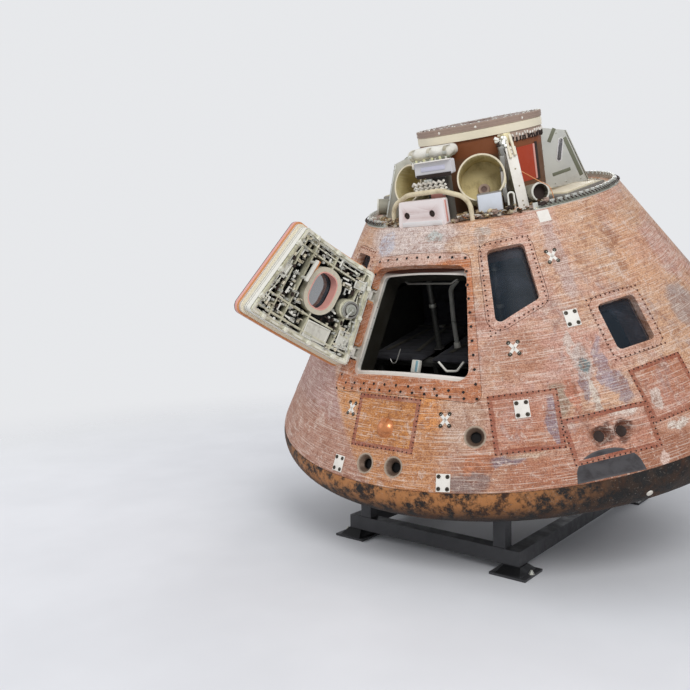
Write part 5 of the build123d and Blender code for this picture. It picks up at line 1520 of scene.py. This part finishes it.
@dataclass(frozen=True)
class ForwardBay:
    """Everything small round the tunnel: straps, strips, lacing, rails, folds, wires and torn foil."""

    items: tuple[BayItem, ...] = tuple(BayItem(*row) for row in (
        (82.0, 0.719, 2.171, 0.5, 0.004, 0.235, Finish.KHAKI),
        (82.0, 0.719, 2.1725, 0.42, 0.006, 0.17, Finish.COLLAR),
        (-88.0, 0.699, 2.276, 0.4, 0.004, 0.235, Finish.KHAKI),
        (-158.0, 0.704, 2.306, 0.24, 0.004, 0.225, Finish.KHAKI),
        (-88.0, 0.825, 2.2, 0.38, 0.11, 0.004, Finish.BAY),
        (-158.0, 0.825, 2.215, 0.22, 0.13, 0.004, Finish.BAY),
        (45.0, 0.6, 2.594, 0.05, 0.07, 0.09, Finish.OLIVE, 0, 8),
        (42.0, 0.64, 2.56, 0.04, 0.05, 0.06, Finish.METAL, 20),
        (39.5, 0.69, 2.52, 0.03, 0.07, 0.03, Finish.ALLOY, 12),
        (38.5, 0.72, 2.44, 0.034, 0.11, 0.02, Finish.ALLOY, -6),
        (37.5, 0.76, 2.34, 0.03, 0.11, 0.016, Finish.BAY, -4),
        (37.0, 0.8, 2.24, 0.032, 0.1, 0.016, Finish.ALLOY, 4),
        (5.5, 0.862, 2.548, 0.27, 0.006, 0.046, Finish.WHITE),
        (5.5, 0.8625, 2.5, 0.18, 0.03, 0.005, Finish.LILAC),
        (4.5, 0.812, 2.3, 0.11, 0.05, 0.006, Finish.ROSE),
        (2.0, 0.85, 2.415, 0.06, 0.03, 0.03, Finish.METAL),
        (10.0, 0.85, 2.33, 0.05, 0.03, 0.03, Finish.METAL, 12),
        (29.2, 0.9063, 2.222, 0.156, 0.116, 0.003, Finish.BLUE),
        (-1.3, 0.9335, 2.142, 0.33, 0.034, 0.008, Finish.BAY),
        (10.3, 0.9165, 2.214, 0.014, 0.15, 0.03, Finish.ROSE),
        # Dark strip under the lilac lid: painted shade beneath it.
        (5.5, 0.866, 2.452, 0.262, 0.026, 0.003, Finish.HOLE),
    ))
    gusset_thick: float = 0.028
    lacing_z: float = 2.6
    lacing_pitch: float = 3.4
    seed: int = 5

    def beside(self, turn: float, r: float, z: float, roll: float = 0.0, lift: float = 0.0) -> Matrix:
        """A placement on a gusset's face: X outwards from the axis, Y upwards, Z off the face."""
        t = radians(turn)
        out, face = Vector((sin(t), -cos(t), 0)), Vector((-cos(t), -sin(t), 0))
        spot = placement(out, Vector((0, 0, 1)), face, Vector((r * sin(t), -r * cos(t), z)))
        return CAPSULE.leaning @ spot @ shift(0, 0, self.gusset_thick / 2 + lift) @ spin(roll)

    def straps(self, maker: Maker) -> None:
        """The white flange on the right gusset's sloping edge, and strips and a pocket on the far one."""
        slope = degrees(atan2(2.54 - 2.124, 0.668 - 0.815))
        for turn, finish, wide in ((45.0, Finish.WHITE, 0.074), (135.0, Finish.METAL, 0.05),
                                   (-45.0, Finish.METAL, 0.05), (-135.0, Finish.METAL, 0.05)):
            edge = self.beside(turn, 0.7435, 2.334, slope, -self.gusset_thick / 2)
            maker.add(block(0.43, 0.007, wide, 0.002), finish, [edge @ shift(0, -0.003, 0)])
            dots = [edge @ shift(x, -0.0065, 0) @ spin(90, "X")
                    for x in (-0.195, -0.165, -0.06, 0.06, 0.165, 0.195)]
            maker.add(disc(0.0055, 0.003, 10), Finish.RING, dots)
        for turn in (135.0, -135.0, -45.0, 45.0):
            for r, z, long, wide, roll in (
                    (0.715, 2.33, 0.33, 0.03, slope), (0.56, 2.52, 0.11, 0.03, 60),
                    (0.61, 2.23, 0.15, 0.026, 8)):
                maker.add(block(long, wide, 0.004, 0.0015), Finish.GREENISH, [self.beside(turn, r, z, roll)])
            pocket = rounded(((-0.09, -0.022), (0.09, -0.022), (0.09, 0.022), (-0.09, 0.022)), 0.021)
            shape = skinned([[Vector((p.x, p.y, z)) for p in pocket] for z in (-0.001, 0.003)])
            maker.add(sunk(shape, 0.006, 0.002, 0.003), Finish.BAY, [self.beside(turn, 0.615, 2.4, 78)])
            bolts = [self.beside(turn, r, z) for r, z in (
                (0.48, 2.16), (0.55, 2.15), (0.64, 2.15), (0.76, 2.15), (0.475, 2.3), (0.475, 2.42),
                (0.475, 2.54), (0.6, 2.53))]
            maker.add(disc(0.006, 0.005, 10, 0.0048, 0.001), Finish.METAL, bolts)

    def lacing(self, maker: Maker) -> None:
        """The brown band under the collar with its row of white lacing bumps."""
        section = ((0.4505, 2.56), (0.4585, 2.56), (0.4585, 2.627), (0.4505, 2.627))
        band = [[CAPSULE.at(turn, r, z) for r, z in section] for turn in range(52, 304, 4)]
        maker.add(skinned(band), Finish.COVER)
        draw = Random(self.seed)
        for finish, low, tall in ((Finish.WHITE, 0.0, 0.02), (Finish.HOLE, -0.03, 0.034)):
            spots = [CAPSULE.facing(52 + step * self.lacing_pitch + draw.uniform(-0.7, 0.7), 0.4605,
                                    self.lacing_z + low + draw.uniform(-0.006, 0.006))
                     @ Matrix.Rotation(draw.uniform(-0.5, 0.5), 4, "Z")
                     for step in range(int(250 / self.lacing_pitch))]
            maker.add(block(0.011, tall, 0.012, 0.004), finish, spots)

    def rail(self, maker: Maker) -> None:
        """A slatted rail under the bag, folds of white cloth and a small arched tube."""
        for z in (2.505, 2.54):
            line = [CAPSULE.at(turn, 0.758, z + 0.0007 * (turn + 12)) for turn in range(-12, 14, 2)]
            maker.add(pipe(line, 0.0075, 6), Finish.GREENISH)
        slats = [CAPSULE.facing(turn, 0.76, 2.522 + 0.0007 * (turn + 12)) for turn in range(-11, 13, 3)]
        maker.add(block(0.016, 0.046, 0.01, 0.003), Finish.WHITE, slats)
        for row, (r, z) in enumerate(((0.882, 2.398), (0.876, 2.372), (0.884, 2.35))):
            folds = [CAPSULE.at(-5.5 + step * 1.25 + row * 0.4, r + step % 2 * 0.012, z + step % 2 * 0.016)
                     for step in range(14)]
            maker.add(pipe(folds, 0.0095, 6), Finish.CLOTH_WHITE)
        posts = [CAPSULE.facing(turn, 0.772, 2.524 + 0.0007 * (turn + 12)) for turn in (-7.5, -2.5, 2.5, 7.0)]
        maker.add(block(0.014, 0.062, 0.012, 0.003), Finish.STRIP, posts)
        arch = rounded([CAPSULE.at(turn, 0.885, z) for turn, z in (
            (37.0, 2.128), (37.0, 2.262), (39.6, 2.262), (39.6, 2.128))], 0.018, closed=False)
        maker.add(pipe(arch, 0.0065, 8), Finish.SILL)
        wire = curve_points([CAPSULE.at(*spot) for spot in (
            (47.4, 0.752, 2.372), (52.0, 0.85, 2.3), (55.6, 0.898, 2.245), (56.6, 0.915, 2.15))])
        maker.add(pipe(wire, 0.0028, 6), Finish.ORANGE)

    def cups(self, maker: Maker) -> None:
        """Rims round the cups' mouths, a dark disc deep in each small cup as painted shade, and a round boss
        and bands in each large one.
        """
        rows = ((26.6, 0.79, 2.384, 18, 0.16, 0.23), (-14.0, 0.8, 2.406, 18, 0.138, 0.22),
                (52.5, 0.86, 2.222, 8, 0.063, 0.17), (-60.0, 0.86, 2.222, 8, 0.063, 0.17),
                (170.0, 0.86, 2.222, 8, 0.063, 0.17))
        for offset, r, z, tilt, cup_r, deep in rows:
            mouth = CAPSULE.facing(offset, r, z, tilt)
            rim = lathe([(cup_r + out, z) for out, z in (
                (-0.0088, -0.004), (-0.0088, 0.001), (-0.006, 0.0025), (0.0015, 0.0025), (0.003, 0.0),
                (0.003, -0.008), (0.0, -0.01), (-0.002, -0.004), (-0.0088, -0.004))], 48)
            maker.add(rim, Finish.SILL if cup_r < 0.1 else Finish.COLLAR, [mouth])
            if cup_r < 0.1:
                # Painted shade: a dark disc 0.05 inside the small cup's mouth.
                maker.add(disc(cup_r - 0.0085, 0.003, 32), Finish.HOLE, [mouth @ shift(0, 0, -0.05)])
                continue
            foot = mouth @ shift(0.004, -0.045, 0.0268 - deep)
            boss = lathe(((0.0, 0.016), (0.018, 0.016), (0.02, 0.022), (0.038, 0.022), (0.042, 0.0),
                          (0.0, 0.0)), 28)
            maker.add(boss, Finish.COVER, [foot])
            bands = [mouth @ shift(0, 0, -step * deep / 4) for step in (1, 2, 3)]
            hoop = lathe(((cup_r - 0.001, -0.006), (cup_r + 0.0035, -0.005), (cup_r + 0.0035, 0.005),
                          (cup_r - 0.001, 0.006), (cup_r - 0.001, -0.006)), 40)
            maker.add(hoop, Finish.OLIVE, bands)

    def debris(self, maker: Maker) -> None:
        """Torn brown foil and pale threads along the front of the deck."""
        draw = Random(self.seed)
        for step in range(150):
            offset = draw.uniform(-44, 52)
            if -15 < offset < 13:
                continue
            spot = CAPSULE.facing(offset, draw.uniform(0.88, 0.95), 2.132 + draw.uniform(0, 0.046), 80)
            finish = draw.choice((*[Finish.DECK] * 3, Finish.COVER, Finish.HOLE, Finish.CLOTH_WHITE))
            size = draw.uniform(0.009, 0.027)
            spot @= Matrix.Rotation(draw.uniform(0, 6), 4, "Z")
            maker.add(crumpled(size, step * 3.7, 2), finish, [spot])
        for step in range(34):
            offset = draw.uniform(12, 40) if step % 2 else draw.uniform(-34, -20)
            start = CAPSULE.at(offset, 0.9, 2.135)
            line = [start, CAPSULE.at(offset + draw.uniform(1, 2.5), 0.9 + draw.uniform(-0.02, 0.03), 2.16),
                    CAPSULE.at(offset + draw.uniform(2.5, 5), 0.91, 2.14)]
            finish = draw.choice((Finish.SILL, Finish.ORANGE, Finish.COVER))
            maker.add(pipe(curve_points(line, 5), 0.0022, 5), finish)

    def deck(self, maker: Maker) -> None:
        """Bolts and shelves on the deck, all the way round."""
        bolts = [CAPSULE.leaning @ spin(turn) @ shift(0, -0.868, 2.124) for turn in range(52, 330, 5)]
        maker.add(disc(0.007, 0.006, 10, 0.0055, 0.001), Finish.METAL, bolts)
        slots = [CAPSULE.facing(turn, 0.9655, 2.152, 57) for turn in range(51, 336, 2)]
        maker.add(block(0.014, 0.026, 0.003, 0.001, 1), Finish.HOLE, slots)
        draw = Random(self.seed + 1)
        for step in range(22):
            turn, r, z = draw.uniform(37, 43.5), draw.uniform(0.6, 0.7), draw.uniform(2.5, 2.61)
            shape = block(0.02, draw.uniform(0.012, 0.04), 0.018, 0.003, 1)
            finish = draw.choice((Finish.METAL, Finish.SILL, Finish.HOLE))
            maker.add(shape, finish, [CAPSULE.facing(turn, r, z, 20) @ Matrix.Rotation(step, 4, "Z")])
        for turn, lift in ((46.5, 0.012), (43.8, 0.0)):
            arm = rounded([CAPSULE.at(turn, 0.49, 2.616), CAPSULE.at(turn, 0.64, 2.612 + lift),
                           CAPSULE.at(turn, 0.716, 2.47 + lift)], 0.04, False, 4)
            maker.add(pipe(arm, 0.01, 6), Finish.COLLAR)
        # Dark discs just inside two mouths on the deck's face: painted shade in them.
        mouths = ((-0.121, 0.08), (0.089, 0.082))
        face = CAPSULE.facing(-1.3, CAPSULE.skin_r(CAPSULE.deck_z) - 0.044, CAPSULE.deck_z)
        maker.add(disc(0.0238, 0.003, 28), Finish.HOLE, [face @ shift(x, y, -0.01) for x, y in mouths])
        for item in self.items:
            place = CAPSULE.facing(item.offset, item.r, item.z, item.tilt) @ spin(item.roll)
            edge = min(item.wide, item.tall, item.deep) * 0.25
            maker.add(block(item.wide, item.tall, item.deep, min(edge, 0.004)), item.finish, [place])

    def panel(self, maker: Maker) -> None:
        """The red panel on the tunnel with its rose edge, and dark plates beside it that paint the shade in
        the gaps.
        """
        # The two dark plates at 88 and 59 degrees are painted shade in the gaps beside the panel.
        for offset, wide, tall, thick, finish in (
                (71.5, 0.165, 0.25, 0.005, Finish.RED), (83.5, 0.022, 0.25, 0.006, Finish.ROSE),
                (88.0, 0.04, 0.27, 0.004, Finish.HOLE), (59.0, 0.022, 0.27, 0.006, Finish.HOLE)):
            maker.add(bent_plate(offset, 2.385, 0.4502, wide, tall, thick), finish)

    def build(self) -> None:
        """Make the bay's small pieces as a few objects."""
        for name, slot, steps in (
                ("gusset_straps", "bay_paint", (self.straps,)),
                ("bay_rail_and_folds", "bay_paint", (self.rail,)),
                ("bay_fittings", "bay_paint", (self.lacing, self.cups, self.deck)),
                ("torn_foil", "deck_foil", (self.debris,)),
                ("red_tunnel_panel", "tunnel_copper", (self.panel,))):
            maker = Maker(name)
            for step in steps:
                step(maker)
            maker.finish(slot)


@dataclass(frozen=True)
class TunnelTop:
    """Bolts and rings on the layered cover and its collar."""

    def build(self) -> None:
        """Make the bolts, the layered edge and six small white crumples round the cover's edge."""
        maker = Maker("cover_fittings")
        for r, count, size in ((0.455, 48, 0.0055), (0.38, 24, 0.008), (0.25, 12, 0.008)):
            places = [CAPSULE.leaning @ spin(360 * step / count) @ shift(r, 0, 2.7318)
                      for step in range(count)]
            maker.add(disc(size, 0.005, 10, size * 0.8, 0.001), Finish.METAL, places)
        for z, out in ((2.694, 0.0012), (2.703, 0.002), (2.712, 0.0012), (2.721, 0.002)):
            layer = lathe(((0.4678, z), (0.468 + out, z + 0.001), (0.468 + out, z + 0.006),
                           (0.4678, z + 0.007), (0.46, z + 0.007), (0.46, z), (0.4678, z)), 96)
            maker.add(layer, Finish.COVER, [CAPSULE.leaning])
        for turn in (-50, -8, 26, 70, 150, 214):
            maker.add(crumpled(0.009, turn, 2), Finish.WHITE, [CAPSULE.facing(turn, 0.469, 2.706)])
        maker.finish("cover_dark")


@dataclass(frozen=True)
class PackedBag:
    """The folded flotation bag round the front of the tunnel, puffed by a cloth simulation."""

    start: float = -25.0
    end: float = 11.0
    inner_r: float = 0.462
    outer_r: float = 0.69
    low_z: float = 2.552
    high_z: float = 2.619
    voxel: float = 0.0055
    cap: float = 0.008
    frames: int = 20
    strapped: tuple[float, ...] = (-17.5, -3.5, 7.5)

    def section(self, turn: float, share: float) -> list[Vector]:
        """The bag's outline at an offset, shrunk by a share towards its middle."""
        middle = Vector(((self.inner_r + self.outer_r) / 2, (self.low_z + self.high_z) / 2))
        corners = []
        for r, z in ((self.inner_r, self.low_z), (self.outer_r, self.low_z), (self.outer_r, self.high_z),
                     (self.inner_r, self.high_z)):
            corners.append(middle + (Vector((r, z)) - middle) * share)
        line = rounded(corners, 0.03 * share, longest=0.02)
        return [CAPSULE.at(turn, point.x, point.y) for point in line]

    def shape(self) -> Shape:
        """The bag before it is filled, with rounded ends."""
        shares = ((0.0, 0.45), (0.8, 0.72), (2.0, 0.9), (3.6, 1.0))
        turns = [(self.start + gap, share) for gap, share in shares]
        turns += [(turn, 1.0) for turn in range(int(self.start) + 5, int(self.end) - 4, 2)]
        turns += [(self.end - gap, share) for gap, share in reversed(shares)]
        return skinned([self.section(turn, share) for turn, share in turns])

    def build(self) -> None:
        """Make the bag, fill it, and lay straps with buckles over it."""
        maker = Maker("flotation_roll")
        maker.add(self.shape(), Finish.BAG)
        bag = maker.finish("bag_fabric", "flotation_bag", crease=180.0)
        puff(bag, self.voxel, self.cap, self.frames)
        straps = Maker("flotation_straps")
        for turn in self.strapped:
            outer, inner = (rounded(((0.6, 2.6255 - deep), (0.6985 - deep, 2.6255 - deep),
                                     (0.6985 - deep, 2.5445 + deep), (0.6, 2.5445 + deep)),
                                    0.03 - deep, False, 6) for deep in (0.0, 0.002))
            bands = [[CAPSULE.at(turn + side, spot.x, spot.y)
                      for side, spot in ((-1, a), (1, a), (1, b), (-1, b))] for a, b in zip(outer, inner)]
            straps.add(skinned(bands), Finish.WEBBING)
        buckles = [CAPSULE.facing(turn, 0.7, 2.582) for turn in self.strapped]
        straps.add(block(0.034, 0.022, 0.006, 0.002), Finish.METAL, buckles)
        straps.finish("bag_fabric")


def puff(piece: bpy.types.Object, voxel: float, cap: float, frames: int) -> None:
    """Fill a closed cloth piece by simulation and keep the result in its mesh.

    Args:
        piece: The piece, in place.
        voxel: Size of the remesh.
        cap: Greatest distance that a point may move.
        frames: Number of frames to run.
    """
    scene = bpy.context.scene
    bpy.context.view_layer.objects.active = piece
    piece.data.remesh_voxel_size = voxel
    bpy.ops.object.select_all(action="DESELECT")
    piece.select_set(True)
    bpy.ops.object.voxel_remesh()
    before = [vert.co.copy() for vert in piece.data.vertices]
    cloth = piece.modifiers.new("fill", "CLOTH")
    cloth.settings.use_pressure = True
    cloth.settings.uniform_pressure_force = 4.0
    cloth.settings.effector_weights.gravity = 0.0
    for number in range(1, frames + 1):
        scene.frame_set(number)
    filled = piece.evaluated_get(bpy.context.evaluated_depsgraph_get()).data
    after = [vert.co.copy() for vert in filled.vertices]
    piece.modifiers.remove(cloth)
    scene.frame_set(1)
    for vert, start, end in zip(piece.data.vertices, before, after):
        move = end - start
        vert.co = start + move * min(1.0, cap / max(move.length, 1e-9))
    shape = bmesh.new()
    shape.from_mesh(piece.data)
    bmesh.ops.smooth_vert(shape, verts=shape.verts[:], factor=0.5, use_axis_x=True, use_axis_y=True,
                          use_axis_z=True)
    for face in shape.faces:
        face.smooth = True
    shape.to_mesh(piece.data)
    shape.free()


@dataclass(frozen=True)
class Couches:
    """Three moulded couches: padded covers with sewn channels, side bolsters, belts and buckles."""

    centres: tuple[float, ...] = (-0.6, 0.0, 0.6)
    wide: float = 0.512
    half_thick: float = 0.0235
    line: tuple[Point, ...] = ((-0.76, 1.05), (0.12, 1.05), (0.18, 1.44), (0.56, 1.44))
    bend: float = 0.055
    channel: float = 0.085
    step: float = 0.0125

    def pad(self, x: float) -> Shape:
        """One long pad: crowned across, pinched at each channel and rounded at its ends."""
        path = rounded([Vector((0, y, z)) for y, z in self.line], self.bend, False, 6, self.step)
        sections = []
        run = 0.0
        total = sum((b - a).length for a, b in zip(path, path[1:]))
        for index, (point, way) in enumerate(directed(path)):
            up = Vector((0, -way.z, way.y))
            pinch = 1 - 0.42 * max(0.0, cos(2 * pi * run / self.channel)) ** 10
            end = min(run, total - run)
            slim = sqrt(max(0.02, 1 - max(0.0, 1 - end / 0.03) ** 2))
            half = self.wide / 2 - 0.01 * (1 - pinch) - 0.02 * (1 - slim)
            section = []
            for corner in range(28):
                turn = 2 * pi * corner / 28
                across, high = squared(cos(turn), 0.35), squared(sin(turn), 0.6)
                crown = 0.86 + 0.14 * (1 - across ** 2) + 0.2 * max(0.0, abs(across) - 0.75)
                tall = high * self.half_thick * (pinch if high > 0 else 1) * crown * slim
                section.append(CAPSULE.leaning @ (point + Vector((x + across * half, 0, 0)) + up * tall))
            sections.append(section)
            if index + 1 < len(path):
                run += (path[index + 1] - point).length
        return skinned(sections)

    def build(self) -> None:
        """Make each couch's pad as its own piece and the belts as one."""
        for number, x in enumerate(self.centres, 1):
            maker = Maker(f"couch_pad_{number}")
            maker.add(self.pad(x), Finish.COUCH)
            pad = maker.finish("couch_fabric", "couches", crease=180.0)
        belts = Maker("couch_belts")
        for x in self.centres:
            for y, wide, long, turn in ((-0.02, 0.045, 0.5, 90), (-0.36, 0.042, 0.56, 8),
                                        (-0.36, 0.042, 0.56, -8)):
                side = 0.0 if turn == 90 else copysign(0.11, turn)
                spot = CAPSULE.leaning @ shift(x + side, y, 1.0795) @ spin(turn)
                belts.add(block(wide, long, 0.003, 0.001), Finish.BELT, [spot])
            belts.add(block(0.07, 0.052, 0.014, 0.004), Finish.METAL,
                      [CAPSULE.leaning @ shift(x, -0.02, 1.0845)])
        belts.finish("couch_fabric")


@dataclass(frozen=True)
class SuitHoses:
    """Corrugated suit hoses that keep the routes of their CAD tubes, with cuffs at both ends."""

    r: float = 0.0192
    ridge: float = 0.0026
    pitch: float = 0.011
    bend: float = 0.07
    routes: tuple[tuple[Spot, ...], ...] = (
        ((-0.15, -0.52, 1.0775), (-0.15, -0.52, 1.3), (-0.12, -0.54, 1.56), (0.06, -0.47, 1.76),
         (0.3, -0.2, 1.78), (0.36, 0.06, 1.69), (0.36, 0.33, 1.69)),
        ((0.2, -0.64, 1.0775), (0.2, -0.64, 1.17), (0.06, -0.6, 1.26), (-0.06, -0.42, 1.33),
         (-0.12, -0.06, 1.5), (-0.13, 0.12, 1.64), (-0.13, 0.33, 1.64)),
    )

    def hose(self, route: Sequence[Sequence[float]]) -> Shape:
        """One hose whose radius rises and falls along its length."""
        path = rounded([CAPSULE.leaning @ Vector(point) for point in route], self.bend, False, 12,
                       self.pitch / 2)
        sections = []
        side = Vector((1, 0, 0))
        for index, (point, way) in enumerate(directed(path)):
            side = (side - way * side.dot(way)).normalized()
            up = way.cross(side)
            r = self.r - (self.ridge if index % 2 else 0.0)
            sections.append([point + (side * cos(turn) + up * sin(turn)) * r
                             for turn in (2 * pi * corner / 12 for corner in range(12))])
        return skinned(sections)

    def build(self) -> None:
        """Make both hoses and their cuffs."""
        maker = Maker("corrugated_hoses")
        for route in self.routes:
            maker.add(self.hose(route), Finish.HOSE)
            foot = CAPSULE.leaning @ Matrix.Translation(route[0])
            head = CAPSULE.leaning @ Matrix.Translation(route[-1]) @ spin(90, "X")
            maker.add(disc(0.026, 0.045, 20, 0.024, 0.003), Finish.SILL, [foot, head])
        maker.finish("hose_rubber", "suit_hoses")


@dataclass(frozen=True)
class Cabin:
    """Console switches, hand-hold, brackets and boxes near the opening, and joints on the struts."""

    console_face: float = 0.33
    console_low: float = 1.56
    columns: int = 22
    rows: int = 5

    def switches(self, maker: Maker) -> None:
        """Rows of toggles and three round dials on the console."""
        face = CAPSULE.leaning @ shift(0, self.console_face, self.console_low) @ spin(90, "X")
        toggles = []
        for column in range(self.columns):
            for row in range(self.rows):
                x, y = -0.56 + 1.12 * column / (self.columns - 1), 0.05 + 0.07 * row
                if abs(x) > 0.24 or row == 0:
                    toggles.append(face @ shift(x, y, 0))
        maker.add(disc(0.008, 0.004, 10, round_=0.001), Finish.ALLOY, toggles)
        maker.add(disc(0.0028, 0.022, 8, 0.0038, 0.001), Finish.SILL, toggles)
        for x, y, r in ((-0.12, 0.25, 0.07), (0.12, 0.25, 0.07), (0.0, 0.345, 0.036)):
            dial = lathe(((0.0, 0.004), (r - 0.012, 0.004), (r - 0.01, 0.012), (r - 0.003, 0.012),
                          (r, 0.008), (r, -0.002), (0.0, -0.002)), 36)
            maker.paint([item for item in dial.faces if item.calc_center_median().xy.length < r - 0.012],
                        Finish.HOLE)
            maker.add(dial, Finish.ALLOY, [face @ shift(x, y, 0)])

    def near_door(self, maker: Maker) -> None:
        """The hand-hold over the opening, a bracket, a box and a bent rod at the sill."""
        hold = rounded([CAPSULE.at(-18.5, 0.953, 1.77), CAPSULE.at(-14.5, 0.945, 1.71),
                        CAPSULE.at(8.5, 0.945, 1.71), CAPSULE.at(14.0, 0.96, 1.762)], 0.03, False, 5, 0.05)
        maker.add(pipe(hold, 0.0085, 8), Finish.ALLOY)
        vee = rounded([CAPSULE.at(*spot) for spot in (
            (6.8, 1.272, 1.25), (9.3, 1.286, 1.186), (12.6, 1.286, 1.186), (15.0, 1.276, 1.246))],
                      0.02, False, 4)
        maker.add(pipe(vee, 0.008, 8), Finish.SILL)
        box = CAPSULE.facing(-2.6, 1.24, 1.195, 30)
        maker.add(block(0.062, 0.09, 0.04, 0.006), Finish.SILL, [box])
        maker.add(block(0.02, 0.08, 0.042, 0.004), Finish.TEAL, [box @ shift(0.016, 0, 0.002)])
        rod = curve_points([CAPSULE.at(*spot) for spot in (
            (-10.0, 1.2, 1.3), (-10.6, 1.25, 1.22), (-12.0, 1.26, 1.21), (-13.0, 1.255, 1.235))])
        maker.add(pipe(rod, 0.004, 6), Finish.ALLOY)

    def build(self) -> None:
        """Make the cabin's small pieces."""
        console, door = Maker("console_switches"), Maker("doorway_fittings")
        self.switches(console)
        self.near_door(door)
        collars = [CAPSULE.leaning @ shift(x, -0.56, z) for x in (-0.292, 0.292) for z in (1.42, 1.7)]
        door.add(disc(0.029, 0.03, 18, round_=0.004), Finish.METAL, collars)
        console.finish("console_paint")
        door.finish("cabin_metal")


@dataclass(frozen=True)
class StandGear:
    """Anchor bolts, nuts, weld beads and brackets of the display stand."""

    foot_x: float = 0.66
    foot_y: float = 1.11
    plate_tall: float = 0.016
    beam: float = 0.1
    beam_low: float = 0.06
    post_x: float = 0.56

    def build(self) -> None:
        """Make the stand's small steel."""
        maker = Maker("stand_fittings")
        plates, heads = [], []
        for x, y in ((-1, -1), (-1, 1), (1, -1), (1, 1)):
            anchor = shift(x * (self.foot_x + 0.112), y * self.foot_y, self.plate_tall)
            maker.add(disc(0.02, 0.003, 20), Finish.METAL, [anchor])
            maker.add(disc(0.015, 0.012, 6, round_=0.001), Finish.METAL, [anchor @ shift(0, 0, 0.003)])
            maker.add(disc(0.009, 0.026, 14, round_=0.001), Finish.METAL, [anchor])
            for turn in range(4):
                post = shift(x * self.post_x, y * self.foot_y, self.beam_low + self.beam) @ spin(turn * 90)
                bead = pipe([post @ Vector((0.045, t, 0)) for t in (-0.044, 0.044)], 0.004, 6)
                maker.add(bead, Finish.STAND)
            plates.append(shift(x * self.foot_x, y * 0.99, 0.110) @ spin(90) @ spin(90, "X")
                          @ shift(0, 0, x * -0.0505))
            heads += [shift(x * (self.foot_x - 0.053), y * 0.99 + side, 0.110) @ spin(-x * 90, "Y")
                      for side in (-0.04, 0.04)]
        maker.add(block(0.12, 0.07, 0.006, 0.002), Finish.STAND, plates)
        maker.add(disc(0.009, 0.008, 6, round_=0.001), Finish.METAL, heads)
        maker.finish("stand_steel")


@dataclass(frozen=True)
class Studio:
    """Camera, lamps, floor and background."""

    eye: Spot = (2.8528, -5.553, 1.8505)
    yaw: float = radians(39.301)
    pitch: float = radians(-3.803)
    roll: float = radians(-0.686)
    focal_px: float = 742.8
    frame_px: int = 690
    sensor: float = 36.0
    floor_size: float = 60.0
    floor_shown: Point = (3.2, 9.0)
    target: Spot = (0, -0.2, 1.5)
    sky: tuple[float, ...] = (0.93, 0.95, 1.0, 1)
    sky_strength: float = 0.55
    backdrop: tuple[float, ...] = (0.8, 0.81, 0.83, 1)
    lamps: tuple[tuple[str, Spot, float, float], ...] = (
        ("key", (6.0, -6.5, 7.5), 5.0, 520.0),
        ("fill", (-7.5, -5.0, 5.0), 6.0, 200.0),
        ("back", (-2.0, 7.5, 6.5), 6.0, 220.0),
    )

    def camera(self) -> None:
        """Stand the camera where the photograph was taken."""
        data = bpy.data.cameras.new("camera")
        data.lens = self.focal_px / self.frame_px * self.sensor
        data.sensor_width = self.sensor
        data.clip_end = 200
        view = placed("camera", data)
        turn = Matrix.Rotation(self.yaw, 4, "Z") @ Matrix.Rotation(pi / 2 + self.pitch, 4, "X")
        view.matrix_world = Matrix.Translation(self.eye) @ turn @ Matrix.Rotation(self.roll, 4, "Z")
        bpy.context.scene.camera = view

    def lights(self) -> None:
        """Hang large soft lamps that look at the capsule."""
        for name, spot, size, power in self.lamps:
            data = bpy.data.lights.new(name, "AREA")
            data.shape = "DISK"
            data.size = size
            data.energy = power
            lamp = placed(name, data)
            lamp.location = spot
            aim = Vector(self.target) - Vector(spot)
            lamp.rotation_euler = aim.to_track_quat("-Z", "Y").to_euler()

    def background(self) -> None:
        """A pale world that shines plainly and shows white behind the capsule."""
        world = bpy.data.worlds.new("studio")
        bpy.context.scene.world = world
        world.use_nodes = True
        tree = world.node_tree
        light = tree.nodes["Background"]
        light.inputs["Color"].default_value = self.sky
        light.inputs["Strength"].default_value = self.sky_strength
        white = tree.nodes.new("ShaderNodeBackground")
        white.inputs["Color"].default_value = self.backdrop
        choose = tree.nodes.new("ShaderNodeMixShader")
        rays = tree.nodes.new("ShaderNodeLightPath")
        tree.links.new(rays.outputs["Is Camera Ray"], choose.inputs[0])
        tree.links.new(light.outputs[0], choose.inputs[1])
        tree.links.new(white.outputs[0], choose.inputs[2])
        tree.links.new(choose.outputs[0], tree.nodes["World Output"].inputs["Surface"])

    def floor(self) -> None:
        """A plain pale floor."""
        shape = bmesh.new()
        bmesh.ops.create_grid(shape, x_segments=1, y_segments=1, size=self.floor_size / 2)
        data = as_mesh("studio_floor", shape)
        g = Graph("pale_floor")
        coord = g.node("ShaderNodeTexCoord").outputs["Object"]
        g.colour(g.blend(g.span(g.grain(coord, 0.8, 3), 0.3, 0.7), (226, 227, 230), (232, 233, 236)))
        g.feed(g.shader.inputs["Alpha"], g.span(g.length(coord), *self.floor_shown, 1.0, 0.0))
        data.materials.append(g.sheen(0.85))
        ground = placed("studio_floor", data)
        ground.location.z = -0.001
        ground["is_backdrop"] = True

    def build(self) -> None:
        """Set the scene up."""
        self.camera()
        self.lights()
        self.background()
        self.floor()
        bpy.context.scene.view_settings.view_transform = "Standard"


def write_sizes() -> None:
    """Round the CAD model's box and the dressed model's box side by side."""
    boxes = {"cad": cad_box, "visual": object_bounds()}
    plain = {name: [[round(value, 5) for value in corner] for corner in box] for name, box in boxes.items()}


def main() -> None:
    """Build the studio and every sub-assembly in order."""
    logging.basicConfig(level=logging.INFO, format="%(message)s")
    for part in (Studio(), Dress(), Fasteners(), SkinMarks(), HatchEdge(), HatchInside(), HingeSide(),
                 ForwardBay(), TunnelTop(), PackedBag(), Couches(), SuitHoses(), Cabin(), StandGear()):
        log.info("building %s", type(part).__name__)
        part.build()
    write_sizes()


if __name__ == "__main__":
    main()
